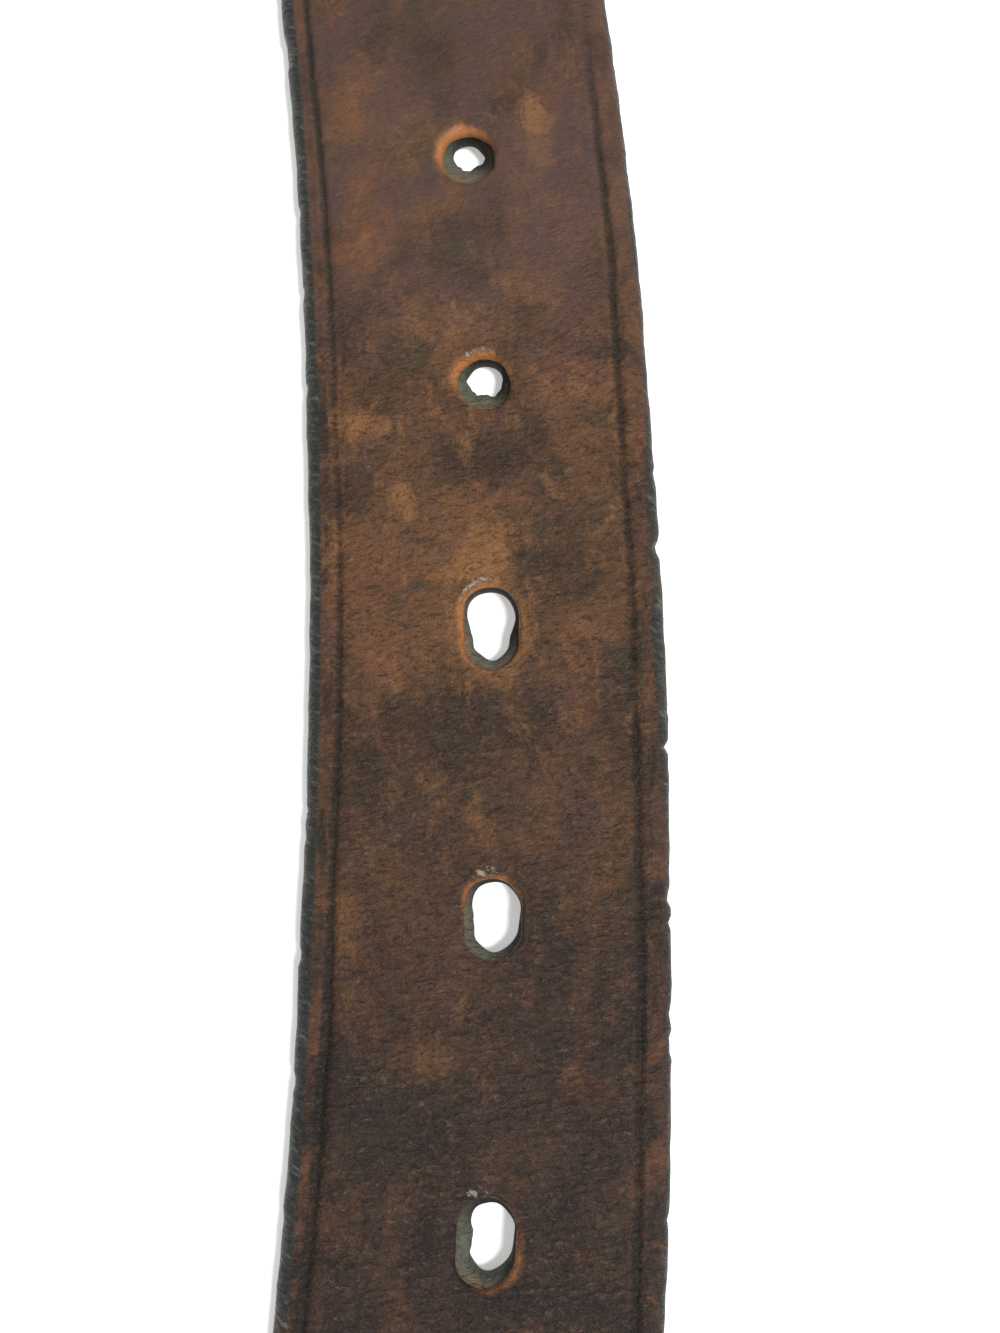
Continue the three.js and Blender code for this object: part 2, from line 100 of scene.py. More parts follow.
TORN_SIDE = math.radians(105)  # where the skin is torn up beside a rim
# the side of each hole's wall that is painted black as shade
SHADED_WALL_SIDE = math.radians(40)
FAN_LENGTH = 13
STAIN_DISTANCE = 5


def middle_of(node):
    """The middle of a CAD node, in millimetres."""
    low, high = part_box(node)
    return (low + high) / (2 * MM)


POST = middle_of("chicago_post_1")
BAR = np.array([POST.x, POST.y - SCREW_STATIONS[0], BAR_HEIGHT])  # the heel bar's axis


def ease(start, end, amount):
    """A smooth change from start to end while amount goes from 0 to 1."""
    t = np.clip(amount, 0, 1)
    return start + (end - start) * t * t * (3 - 2 * t)


def bell(value, width):
    """1 at zero, falling smoothly to nothing a few widths away."""
    return np.exp(-((value / width) ** 2))


def waver(value, wavelength, seed):
    """A smooth wandering number from about -1 to 1 along a line."""
    turn = 2 * math.pi * np.asarray(value, float) / wavelength
    return (
        0.55 * np.sin(turn + 1.7 * seed)
        + 0.30 * np.sin(1.93 * turn + 4.1 * seed)
        + 0.15 * np.sin(4.37 * turn + 2.3 * seed)
    )


def field(x, y, size, seed):
    """Smooth noise over a surface, from about -1 to 1, with features of that size."""
    pairs = zip(np.ravel(x) / size, np.ravel(y) / size)
    values = [noise.noise(Vector((a, b, seed))) for a, b in pairs]
    return np.array(values).reshape(np.shape(x))


# ---- mesh helpers ----

def add(name, data):
    """Puts an object into the scene."""
    made = bpy.data.objects.new(name, data)
    bpy.context.scene.collection.objects.link(made)
    return made


def new_object(name, points, faces, material, values=None, sharp=None):
    """A smooth mesh from points in millimetres, with named surface values for its material."""
    mesh = bpy.data.meshes.new(name)
    mesh.from_pydata((np.asarray(points) * MM).tolist(), [], faces)
    mesh.validate()
    for key, value in (values or {}).items():
        value = np.asarray(value, np.float32)
        kind = "FLOAT_VECTOR" if value.ndim == 2 else "FLOAT"
        attribute = mesh.attributes.new(key, kind, "POINT")
        attribute.data.foreach_set("vector" if value.ndim == 2 else "value", value.ravel())
    mesh.polygons.foreach_set("use_smooth", [True] * len(mesh.polygons))
    if sharp:
        mesh.set_sharp_from_angle(angle=math.radians(sharp))
    mesh.materials.append(material)
    return add(name, mesh)


def ring_faces(first, second):
    """Quads between two closed rings of vertex numbers."""
    count = len(first)
    return [
        (first[i], first[(i + 1) % count], second[(i + 1) % count], second[i])
        for i in range(count)
    ]


def sweep(path, normal, sections, closed=False):
    """A body along a flat path. Section points are (along the plane's normal, to the path's left)."""
    path = np.asarray(path, float)
    normal = np.asarray(normal, float)
    if closed:
        tangents = np.roll(path, -1, axis=0) - np.roll(path, 1, axis=0)
    else:
        tangents = np.gradient(path, axis=0)
    tangents /= np.linalg.norm(tangents, axis=1)[:, None]
    left = np.cross(normal, tangents)
    sections = np.broadcast_to(sections, (len(path), *np.shape(sections)[-2:]))
    points = path[:, None] + sections[..., :1] * normal + sections[..., 1:] * left[:, None]
    count = sections.shape[1]
    rings = np.arange(len(path) * count).reshape(len(path), count).tolist()
    faces = []
    for i in range(len(path) if closed else len(path) - 1):
        faces += ring_faces(rings[i], rings[(i + 1) % len(path)])
    if not closed:
        faces += [tuple(reversed(rings[0])), tuple(rings[-1])]
    return points.reshape(-1, 3), faces


LATHE_SIDES = 64


def lathe(profile):
    """A body turned about the vertical axis from (radius, height) points, closed at both ends."""
    turn = circle(LATHE_SIDES)
    points, rings = [], []
    for radius, height in profile:
        rings.append(list(range(len(points), len(points) + LATHE_SIDES)))
        points += [(radius * math.cos(a), radius * math.sin(a), height) for a in turn]
    faces = []
    for lower, upper in zip(rings, rings[1:]):
        faces += ring_faces(lower, upper)
    faces += [tuple(reversed(rings[0])), tuple(rings[-1])]
    return np.array(points), faces


def circle(sides):
    """Directions evenly round a circle."""
    return np.linspace(0, 2 * math.pi, sides, endpoint=False)


def arc(centre, radius, start, end, steps):
    """Points on an arc, with its angles in degrees."""
    turn = np.radians(np.linspace(start, end, steps + 1))
    return [(centre[0] + radius * math.cos(a), centre[1] + radius * math.sin(a)) for a in turn]


def joined(bends, steps):
    """A flat path through bends in order, with straight runs of so many steps between them.

    It is closed when there are as many runs as bends.
    """
    line = list(bends[0])
    for i, count in enumerate(steps, 1):
        following = bends[i % len(bends)]
        line += np.linspace(line[-1], following[0], count + 1)[1:-1].tolist()
        line += following if i < len(bends) else []
    return line


def rounded_bar(half_a, half_b, radius, steps=5):
    """A rectangular section with round corners."""
    a, b = half_a - radius, half_b - radius
    corners = [((a, b), 0), ((-a, b), 90), ((-a, -b), 180), ((a, -b), 270)]
    bends = [arc(centre, radius, turn, turn + 90, steps) for centre, turn in corners]
    return np.concatenate(bends)


# ---- where the strap runs ----

def plan_place(distance):
    """Where the strap's middle is in plan at a distance from the fold, and its heading."""
    distance = np.asarray(distance, float)
    x, y = np.zeros_like(distance), np.zeros_like(distance)
    heading = np.zeros_like(distance)
    begun = 0
    for length, radius in RUNS:
        done = np.clip(distance - begun, 0, length)
        turn = done / radius
        chord = done if math.isinf(radius) else 2 * radius * np.sin(turn / 2)
        x -= chord * np.sin(heading + turn / 2)
        y += chord * np.cos(heading + turn / 2)
        heading += turn
        begun += length
    return x, y, heading


def layer_height(y):
    """Height of the flesh side over the table, from the fold to the billet."""
    closing = ease(BAR_HEIGHT + FOLD_RADIUS, LAYER_HEIGHT, y / FOLD_EASE_LENGTH)
    ramp = ease(LAYER_HEIGHT, 0, (y - RAMP_START) / (RAMP_END - RAMP_START))
    return np.where(y < RAMP_START, closing, ramp)


def tail_height(y):
    """Height of the folded-back tail's flesh side, under the strap."""
    return FOLD_THICKNESS + ease(0, TAIL_LIFT, y / FOLD_EASE_LENGTH)


def slope(height, y):
    return (height(y + 0.1) - height(y - 0.1)) / 0.2


def thickness(s):
    """The strap's thickness, skived thin towards the fold."""
    return ease(FOLD_THICKNESS, STRAP_THICKNESS, s / SKIVE_LENGTH)


def tip_outline(steps):
    """Half width and distance along the strap, down the rounded point of the billet."""
    side = HALF_WIDTH + 0.3
    u = np.linspace(0, 1, steps + 1)[1:]
    v = 1 - u
    half = side * (v**3 + 3 * v * v * u + 0.36 * 3 * v * u * u)
    along = TIP_LENGTH * (0.5 * 3 * v * v * u + 0.93 * 3 * v * u * u) + (TIP_LENGTH - 0.3) * u**3
    return np.clip(half, 0.3, HALF_WIDTH), TIP_START + along


def squared(x, s):
    """Place across the strap as if its sides ran on straight: the same distance from the outline."""
    half, along = tip_outline(120)
    half_here = np.interp(s, along, half, left=HALF_WIDTH)
    narrowing = np.interp(s, along, np.gradient(half, along), left=0)
    inside = (half_here - np.abs(x)) / np.hypot(1, narrowing)
    return np.where(s < TIP_START, x, np.where(x < 0, -1, 1) * (HALF_WIDTH - inside))


def surface(x, s, h):
    """A point of the strap: x across it, s along it from the fold and h above its flesh side.

    Negative s goes round the bar and then back along the tail, whose grain side is underneath.
    """
    x, s, h = np.broadcast_arrays(np.asarray(x, float), s, h)
    plan_x, plan_y, heading = plan_place(np.maximum(s, 0))
    rise = slope(layer_height, s)
    layer = np.stack([plan_x, plan_y, layer_height(s)], -1)
    layer_along = np.stack([-np.sin(heading), np.cos(heading), rise], -1)

    turn = -math.pi / 2 - (1 + s / FOLD_ARC) * math.pi
    zero = np.zeros_like(turn)
    around = np.stack([zero, np.cos(turn), np.sin(turn)], -1)
    fold = around * FOLD_RADIUS + (0, 0, BAR_HEIGHT)
    fold_along = np.stack([zero, np.sin(turn), -np.cos(turn)], -1)

    back = np.maximum(-FOLD_ARC - s, 0)
    tail = np.stack([zero, back, tail_height(back)], -1)
    tail_along = np.stack([zero, -np.ones_like(back), -slope(tail_height, back)], -1)

    on_layer, on_tail = (s >= 0)[..., None], (s < -FOLD_ARC)[..., None]
    middle = np.where(on_layer, layer, np.where(on_tail, tail, fold))
    along = np.where(on_layer, layer_along, np.where(on_tail, tail_along, fold_along))
    across = np.stack([np.cos(heading), np.sin(heading), zero], -1)
    normal = np.cross(across, along)
    normal /= np.linalg.norm(normal, axis=-1)[..., None]
    return middle + x[..., None] * across + h[..., None] * normal + (BAR[0], BAR[1], 0)


# ---- the strap's relief ----

PLAIN_RIM = 0.3
FLESH_RIM = 0.25
MARGIN = 12.9  # outside this the grain side falls away to the cut edge
EDGE_DROP = 0.22
LEFT_CREASE, RIGHT_CREASE = 2.3, 2.4  # in from the cut edge
SWELL = 0.1  # how far the grain side swells between broad hollows


def opening(s, x, radius, length, bevel=0.25, worn=0, lean=0, shade_skirt=0, shade_skirt_at=0, **wear):
    """A round hole or a slot through the strap, with its angles given in degrees."""
    worn, shade_skirt_at = math.radians(worn), math.radians(shade_skirt_at)
    return SimpleNamespace(s=s, x=x, radius=radius, straight=length / 2 - radius, bevel=bevel,
                           worn=worn, lean=lean, shade_skirt=shade_skirt, shade_skirt_at=shade_skirt_at, **wear)


PUNCHED = [
    opening(MIDDLE_HOLE + along, radius=HOLE_RADIUS, **dict(zip(HOLES, facts)))
    for along, facts in zip(HOLES_ALONG, zip(*HOLES.values()))
]
MIDDLE = PUNCHED[2]
SCREW_HOLES = [
    opening(s, 0, SCREW_HOLE_RADIUS, 2 * SCREW_HOLE_RADIUS)
    for station in SCREW_STATIONS
    for s in (station, -FOLD_ARC - station)
]
PRONG_SLOT = opening(-FOLD_ARC / 2, 0, SLOT_RADIUS, FOLD_ARC + 2 * SLOT_END)
OPENINGS = [*PUNCHED, PRONG_SLOT, *SCREW_HOLES]


def strongest(masks):
    """The greatest of several masks at each place."""
    return np.max(list(masks), axis=0)


def bearing(hole, x, s):
    """The direction of a place from the middle of a hole, from +X."""
    return np.arctan2(s - hole.s, x - hole.x)


def rim_distance(hole, x, s):
    """How far a place is outside the wall of a hole."""
    beyond = np.maximum(np.abs(s - hole.s) - hole.straight, 0)
    return np.hypot(x - hole.x, beyond) - hole.radius


def beyond_rim(hole, x, s):
    """How far a place is outside a hole's wall, and 0 inside it."""
    return np.maximum(rim_distance(hole, x, s), 0)


def rim_wear(hole, x, s):
    """0 to 1: how much the rim is worn in that direction from the hole."""
    return 0.5 + 0.5 * np.cos(bearing(hole, x, s) - hole.worn)


def rim_bevel(hole, x, s):
    """How deep a rim is worn, from the plain edge that a punch leaves."""
    return PLAIN_RIM + (hole.bevel - PLAIN_RIM) * np.maximum(rim_wear(hole, x, s), 0.25)


def rounding(hole, x, s, radius):
    """0 to 1: how far a rim rounded to a radius has dropped at a place."""
    inside = np.clip(1 - beyond_rim(hole, x, s) / radius, 0, 1)
    return 1 - np.sqrt(1 - inside**2)


def middle_lip(x, s):
    """0 to 1: the lip pulled up along the rim of the middle hole."""
    turn = bearing(MIDDLE, x, s) - TORN_SIDE - 0.2
    return bell(turn, 0.7) * bell(rim_distance(MIDDLE, x, s) - 0.5, 0.32)


def torn_lip(x, s):
    """0 to 1: where the skin is lifted on the tip side of the four lower holes."""
    lifted = [
        bell(bearing(hole, x, s - hole.straight) - TORN_SIDE, 0.6)
        * bell(rim_distance(hole, x, s) - 0.6, 0.5)
        for hole in PUNCHED[1:]
    ]
    return strongest([*lifted, middle_lip(x, s)])


def crease_lines(s):
    """The two creased border lines: place across, width and depth along the strap."""
    from_middle = s - MIDDLE_HOLE
    middle = 0.5 * bell(from_middle, 48)
    left = HALF_WIDTH - LEFT_CREASE - middle - 0.12 * waver(s, 37, 1)
    right = HALF_WIDTH - RIGHT_CREASE - middle - 0.14 * waver(s, 31, 2)
    doubled = bell(from_middle - 20, 13)
    faint = ease(0, 1, (from_middle - 44) / 12)
    bold = ease(0, 1, (-22 - from_middle) / 15)
    return [
        (-left, 0.34 + 0.05 * waver(s, 9, 3) + 0.22 * bold, 0.30 - 0.10 * doubled + 0.1 * bold),
        (-left + 0.75 + 0.15 * waver(s, 11, 4), 0.26, 0.20 * doubled),
        (right, 0.36 + 0.20 * faint, 0.28 - 0.14 * faint),
    ]


def crease(x, s):
    """Depth of the creased lines at a place, 0 away from them."""
    beside = squared(x, s)
    return strongest(deep * bell(beside - centre, width) for centre, width, deep in crease_lines(s))


def grain_height(x, s):
    """Height of the grain side over the flesh side, with creases, worn rims and swelling."""
    height = thickness(s) - crease(x, s)
    height = height + SWELL * field(x, s, 13, 0.5) + SWELL / 2 * field(x, s, 4.5, 7.5)
    height = height - EDGE_DROP * ease(0, 1, (np.abs(squared(x, s)) - MARGIN) / 2.2)
    for hole in OPENINGS:
        bevel = rim_bevel(hole, x, s)
        height = height - bevel * rounding(hole, x, s, bevel)
    for hole in PUNCHED:
        distance = rim_distance(hole, x, s)
        wear = rim_wear(hole, x, s)
        height = height - 0.16 * bell(distance, 3.2) * wear
        height = height + 0.10 * bell(distance - 1.5, 0.8) * (1 - 0.5 * wear)
    return height + 0.12 * torn_lip(x, s) + 0.3 * middle_lip(x, s)


def flesh_height(x, s):
    """Height of the flesh side, with its swelling and its rounded rims."""
    height = 0.05 * field(x, s, 5, 3.5)
    for hole in OPENINGS:
        height = height + FLESH_RIM * rounding(hole, x, s, FLESH_RIM)
    return np.maximum(height, 0)


# ---- the strap's mesh ----

GRAIN_ROUND = 1.3
FLESH_ROUND = 0.6
INNER = 11.5  # inside this the columns are evenly spaced, and outside it they follow the edge
COLUMN_STEP = 0.5
NARROW = 5  # where the point is narrower than this its rounding shrinks with it
FINE_START, FINE_END = MIDDLE_HOLE - 68, MIDDLE_HOLE + 78  # the finely meshed stretch with holes
WINDOW_REACH = 2.5  # how far beyond a hole the grid gives way to the hole's own rings


def section_columns():
    """Once round the strap's section: place across, which side, and distance from that side."""
    outer = [GRAIN_ROUND, 1.6, 1.9, 2.1, 2.3, 2.5, 2.7, 2.9, 3.1, 3.3, 3.6, HALF_WIDTH - INNER]
    right = [HALF_WIDTH - d for d in reversed(outer)]
    inner = np.arange(-INNER + COLUMN_STEP, INNER, COLUMN_STEP)
    top = [(x, True, 0) for x in (*[-x for x in reversed(right)], *inner, *right)]
    grain = arc((HALF_WIDTH - GRAIN_ROUND, -GRAIN_ROUND), GRAIN_ROUND, 90, 0, 6)[1:]
    flesh = arc((HALF_WIDTH - FLESH_ROUND, FLESH_ROUND), FLESH_ROUND, 0, -90, 4)
    right_edge = [(x, True, y) for x, y in grain] + [(x, False, y) for x, y in flesh]
    left_edge = [(-x, is_top, y) for x, is_top, y in reversed(right_edge)]
    middle = np.arange(6.5, -7, -COLUMN_STEP)
    bottom = [(x, False, 0) for x in (13, 11, 9, 7.5, *middle, -7.5, -9, -11, -13)]
    return top + right_edge + bottom + left_edge


COLUMNS = section_columns()
COLUMN_X = np.array([column[0] for column in COLUMNS])
COLUMN_TOP = np.array([column[1] for column in COLUMNS])
COLUMN_OFF = np.array([column[2] for column in COLUMNS])


def strap_stations():
    """Distance along the strap and half width at each station, finest where the holes are."""
    spans = [
        (-FOLD_ARC - TAIL_LENGTH, -FOLD_ARC - FOLD_EASE_LENGTH, 44),
        (-FOLD_ARC - FOLD_EASE_LENGTH, -FOLD_ARC, 40),
        (-FOLD_ARC, 0, 24),
        (0, FOLD_EASE_LENGTH, 40),
        (FOLD_EASE_LENGTH, RAMP_START, 46),
        (RAMP_START, FINE_START, 92),
        (FINE_START, FINE_END, 243),
        (FINE_END, TIP_START, 12),
    ]
    stations = np.concatenate([np.linspace(a, b, n, endpoint=False) for a, b, n in spans])
    half, along = tip_outline(34)
    stations = np.concatenate([stations, [TIP_START], along])
    halves = np.concatenate([np.full(len(stations) - len(half), HALF_WIDTH), half])
    return stations, halves


def nicks(s, size, seed, level):
    """0 to 1: where fine noise along an edge is above a level."""
    return ease(0, 1, (field(s, 0 * s, size, seed) - level) / 0.3)


def edge_waver(x, s):
    """The cut edges aren't quite straight, and both are nicked, the right beside the middle hole."""
    left = 0.10 * waver(s, 43, 5) + 0.05 * waver(s, 6.1, 6)
    right = 0.10 * waver(s, 39, 7) + 0.05 * waver(s, 5.3, 8)
    worn = ease(0.25, 1, (MIDDLE_HOLE + 20 - s) / 12)
    handled = ease(0.1, 1, (s - MIDDLE_HOLE + 120) / 30)
    worn = worn * (0.45 + 0.55 * bell(s - MIDDLE_HOLE, 20))
    right = right - 0.42 * handled * worn * nicks(s, 1.5, 9.5, 0.28)
    left = left - 0.16 * handled * nicks(s, 1.9, 10.5, 0.32)
    nearness = ease(0, 1, (np.abs(x) - 13.6) / 1.9)
    return np.sign(x) * nearness * np.where(x > 0, right, left)


def strap_grid(stations, halves):
    """The grid of strap points before any hole is cut, as x, s and h."""
    s = stations[:, None]
    half = halves[:, None]
    shrink = np.minimum(1, half / NARROW)
    beside = HALF_WIDTH - np.abs(COLUMN_X)
    outer = np.sign(COLUMN_X) * (half - beside * shrink)
    inner = COLUMN_X * (half - (HALF_WIDTH - INNER) * shrink) / INNER
    x = np.where(np.abs(COLUMN_X) > INNER, outer, inner)
    s = np.broadcast_to(s, x.shape)
    off = COLUMN_OFF * np.minimum(shrink, thickness(s) / 2.2)
    level = np.where(COLUMN_TOP, grain_height(x, s), flesh_height(x, s))
    wavered = x + edge_waver(COLUMN_X + 0 * x, s) * (halves[:, None] >= HALF_WIDTH)
    return wavered, s, level + off


def window(hole, stations, xs):
    """First and last station and column of the patch of grid that a hole's rings replace."""
    reach_x = hole.radius + WINDOW_REACH
    reach_s = hole.straight + reach_x + 0.1
    first = np.searchsorted(stations, hole.s - reach_s) - 1
    last = np.searchsorted(stations, hole.s + reach_s)
    low = np.floor((hole.x - reach_x) / COLUMN_STEP) * COLUMN_STEP
    high = np.ceil((hole.x + reach_x) / COLUMN_STEP) * COLUMN_STEP
    top = [int(np.argmin(np.abs(xs - v) + 99 * ~COLUMN_TOP)) for v in (low, high)]
    bottom = [int(np.argmin(np.abs(xs - v) + 99 * COLUMN_TOP)) for v in (low, high)]
    return int(first), int(last), top, bottom


def outline(first, last, low, high):
    """The grid places round a window, anticlockwise from the grain side, as (station, column)."""
    step = 1 if high > low else -1
    across = list(range(low, high, step))
    along = list(range(first, last))
    loop = [(first, j) for j in across] + [(i, high) for i in along]
    loop += [(last, j + step) for j in reversed(across)] + [(i + 1, low) for i in reversed(along)]
    return loop


def reach(hole, direction, distance):
    """How far along each ray from the hole's middle its outline, grown by a distance, lies."""
    across, along = np.abs(np.cos(direction)), np.abs(np.sin(direction))
    radius = hole.radius + distance
    side = radius / np.maximum(across, 1e-6)
    end = hole.straight * along + np.sqrt(
        np.maximum(radius**2 - (hole.straight * across) ** 2, 0)
    )
    return np.where(side * along <= hole.straight, side, end)


RIM_STEPS = (2.0, 1.55, 1.2, 0.95, 0.75, 0.58, 0.44, 0.32, 0.21, 0.12, 0.05, 0.0)
WALL_STEPS = (0.92, 0.82, 0.7, 0.58, 0.46, 0.34, 0.22, 0.1)
FLESH_STEPS = (0.0, 0.1, 0.25, 0.6, 1.2, 2.0)


def hole_rings(hole, loop_x, loop_s):
    """The rings of a hole from its window on the grain side, down the wall, to the flesh side."""
    direction = bearing(hole, loop_x, loop_s)
    outside = np.hypot(loop_s - hole.s, loop_x - hole.x)
    ragged = 0.05 * np.sin(3 * direction + hole.s) + 0.03 * np.sin(7 * direction - hole.s)

    def edge(distance):
        return reach(hole, direction, distance)

    def ring(length):
        return hole.x + length * np.cos(direction), hole.s + length * np.sin(direction)

    rings = []
    for share in (0.33, 0.67):
        x, s = ring(outside + (edge(RIM_STEPS[0]) - outside) * share)
        rings.append((x, s, grain_height(x, s), 0))
    for distance in RIM_STEPS:
        x, s = ring(edge(distance) - ragged * bell(distance, 1))
        rings.append((x, s, grain_height(*ring(edge(distance))), 0))
    top, bottom = grain_height(*ring(edge(0))), flesh_height(*ring(edge(0)))
    # the skirt is a grey sheet of wall that stands for the shade down the hole
    side = 0.5 + 0.5 * np.cos(direction - hole.shade_skirt_at)
    torn = 1 + 0.09 * np.sin(4 * direction + hole.s) + 0.04 * np.sin(9 * direction)
    shade_skirt = np.minimum(hole.shade_skirt * (0.1 + 0.9 * side) * torn, edge(0) - 0.8)
    for share in WALL_STEPS:
        closing = shade_skirt * ease(0, 1, (0.95 - share) / 0.32)
        x, s = ring(edge(0) - ragged - closing)
        lean = hole.lean * (1 - share)
        rings.append((x, s + lean, bottom + (top - bottom) * share, 1))
    for distance in FLESH_STEPS:
        closing = shade_skirt * bell(distance, 0.4)
        x, s = ring(edge(distance) - ragged * bell(distance, 1) - closing)
        s = s + hole.lean * bell(distance, 0.8)
        rings.append((x, s, flesh_height(*ring(edge(distance))), float(distance == 0)))
    return rings


def strap_mesh():
    """Every point of the strap as (x, s, h) with the share of hole wall in it, and the faces."""
    stations, halves = strap_stations()
    grid_x, grid_s, grid_h = strap_grid(stations, halves)
    count = len(COLUMNS)
    number = np.arange(grid_x.size).reshape(grid_x.shape)
    kept = np.ones((len(stations) - 1, count), bool)
    x, s, h = [grid_x.ravel()], [grid_s.ravel()], [grid_h.ravel()]
    wall = [np.zeros(grid_x.size)]
    faces = []
    total = grid_x.size
    for hole in OPENINGS:
        first, last, top, bottom = window(hole, stations, COLUMN_X)
        kept[first:last, top[0]:top[1]] = False
        kept[first:last, bottom[1]:bottom[0]] = False
        upper = outline(first, last, *top)
        lower = outline(first, last, *bottom)
        here = [int(number[place]) for place in upper]
        loop_x = np.array([grid_x[place] for place in upper])
        loop_s = np.array([grid_s[place] for place in upper])
        for ring in hole_rings(hole, loop_x, loop_s):
            following = list(range(total, total + len(here)))
            total += len(here)
            for values, made in zip((x, s, h, wall), ring):
                values.append(np.broadcast_to(made, len(here)))
            faces += ring_faces(here, following)
            here = following
        faces += ring_faces(here, [int(number[place]) for place in lower])
    rows, columns = np.nonzero(kept)
    beside = (columns + 1) % count
    quads = [number[rows, columns], number[rows, beside]]
    quads += [number[rows + 1, beside], number[rows + 1, columns]]
    faces += np.stack(quads, -1).tolist()
    faces.append(tuple(reversed(number[0].tolist())))
    faces.append(tuple(number[-1].tolist()))
    return [np.concatenate(part) for part in (x, s, h, wall)], faces


# ---- wear and stains on the strap ----

# Five marks given one by one, besides what the rules below make: which hole each is near, across and
# along from that hole's middle (positive towards the tip), half width and half length.
TAN_MARKS = [
    (0, 6.5, 1, 2, 5),      # a rubbed block to the right of the top hole
    (1, -11, -3.5, 3.5, 1.6),
    (3, -12, -1, 2, 4),
    (3, -5.5, -11.5, 4.5, 1.8),
]
DARK_MARKS = [(4, -9, 8, 4, 5)]


def marks(places, x, s):
    """0 to 1: soft patches at places given from the holes."""
    return strongest(
        bell(x - PUNCHED[i].x - across, width) * bell(s - PUNCHED[i].s - along, length)
        for i, across, along, width, length in places
    )


def rubbed_grain(x, s):
    """0 to 1: the grain rubbed tan in a fan beyond each hole and in a halo round it."""
    masks = [marks(TAN_MARKS, x, s)]
    for hole in PUNCHED:
        beyond = s - hole.s - hole.straight
        fan = ease(0, 1, beyond / 3) * ease(1, 0, (beyond / FAN_LENGTH - 0.35) / 0.65)
        fan = fan * bell(x - hole.x + 0.6, 3.4 + 0.22 * np.maximum(beyond, 0))
        halo = 0.75 * bell(beyond_rim(hole, x, s), 2.4)
        masks.append(hole.fan * np.maximum(fan, halo))
    return strongest(masks)


def oil_stains(x, s):
    """0 to 1: oil that has darkened the grain on the buckle side of each hole."""
    masks = [marks(DARK_MARKS, x, s)]
    for hole in PUNCHED:
        behind = hole.s - hole.straight - hole.radius - s
        stain = bell(behind - STAIN_DISTANCE, 3.2) * bell(x - hole.x + 1, 5.5)
        masks.append(hole.stain * stain)
    return strongest(masks)


def rusty_sides(x, s):
    """0 to 1: red-brown grain that comes and goes on both sides of the run of holes."""
    left = bell(x + 9.5, 3.6) * (0.5 + 0.5 * waver(s, 34, 12))
    right = bell(x - 8.5, 3.2) * (0.5 + 0.5 * waver(s, 27, 13))
    return np.maximum(left, right)


def painted_wall_shade(x, s):
    """Painted shade: black on the wall of each hole, on its right and towards the tip."""
    return strongest(
        ease(0, 0.9, 0.5 + 0.7 * np.cos(bearing(hole, x, s) - SHADED_WALL_SIDE))
        * (rim_distance(hole, x, s) < 0.5)
        for hole in PUNCHED
    )


def worn_rims(x, s):
    """0 to 1: how pale the rims are rubbed."""
    masks = []
    for hole in PUNCHED:
        wear = np.maximum(rim_wear(hole, x, s), 0.15) ** 1.6
        paleness = bell(beyond_rim(hole, x, s), 0.16 + 0.80 * hole.bevel * wear)
        masks.append(paleness * hole.tan * (0.35 + 0.65 * wear))
    return strongest(masks)


def strap_values(x, s, h, wall):
    """The surface values that the strap's leather reads."""
    on_flesh = ease(0, 1, (0.7 - h) / 0.5) * (1 - wall)
    beside = squared(x, s)
    left_edge = ease(0, 1, (-beside - 13.8) / 1.0)
    blackened = 0.8 * bell(s - MIDDLE_HOLE - 2, 15)
    right_edge = ease(0, 1, (beside - 14.5 + blackened) / 0.9) * (0.75 + 0.25 * waver(s, 23, 11))
    cut_side = ease(0, 1, (thickness(s) - 0.7 - h) / 0.5)
    cut_side = cut_side * ease(0, 1, (np.abs(beside) - 15) / 0.3)
    on_edge = np.maximum(left_edge, np.maximum(right_edge, cut_side))
    near = np.min([rim_distance(hole, x, s) for hole in PUNCHED], axis=0)
    return {
        "place": np.stack([x, s, h], -1),
        "flesh": on_flesh,
        "edge": on_edge,
        "crease": crease(x, s) / 0.34,
        "rim": worn_rims(x, s),
        "wall": wall * (near < 0.5),
        "margin": ease(0, 1, (np.abs(beside) - 13.0) / 0.7),
        "torn": torn_lip(x, s) * (1 - wall),
        # the black on the right of each hole's wall is painted shade
        "wall_shade": painted_wall_shade(x, s) * wall,
        "tan": rubbed_grain(x, s),
        "dark": oil_stains(x, s),
        "red": rusty_sides(x, s),
    }


# ---- materials ----

def linear(red, green, blue):
    """A colour from its screen values, 0 to 255."""
    return tuple(
        (c / 255 / 12.92) if c <= 10 else ((c / 255 + 0.055) / 1.055) ** 2.4
        for c in (red, green, blue)
    )


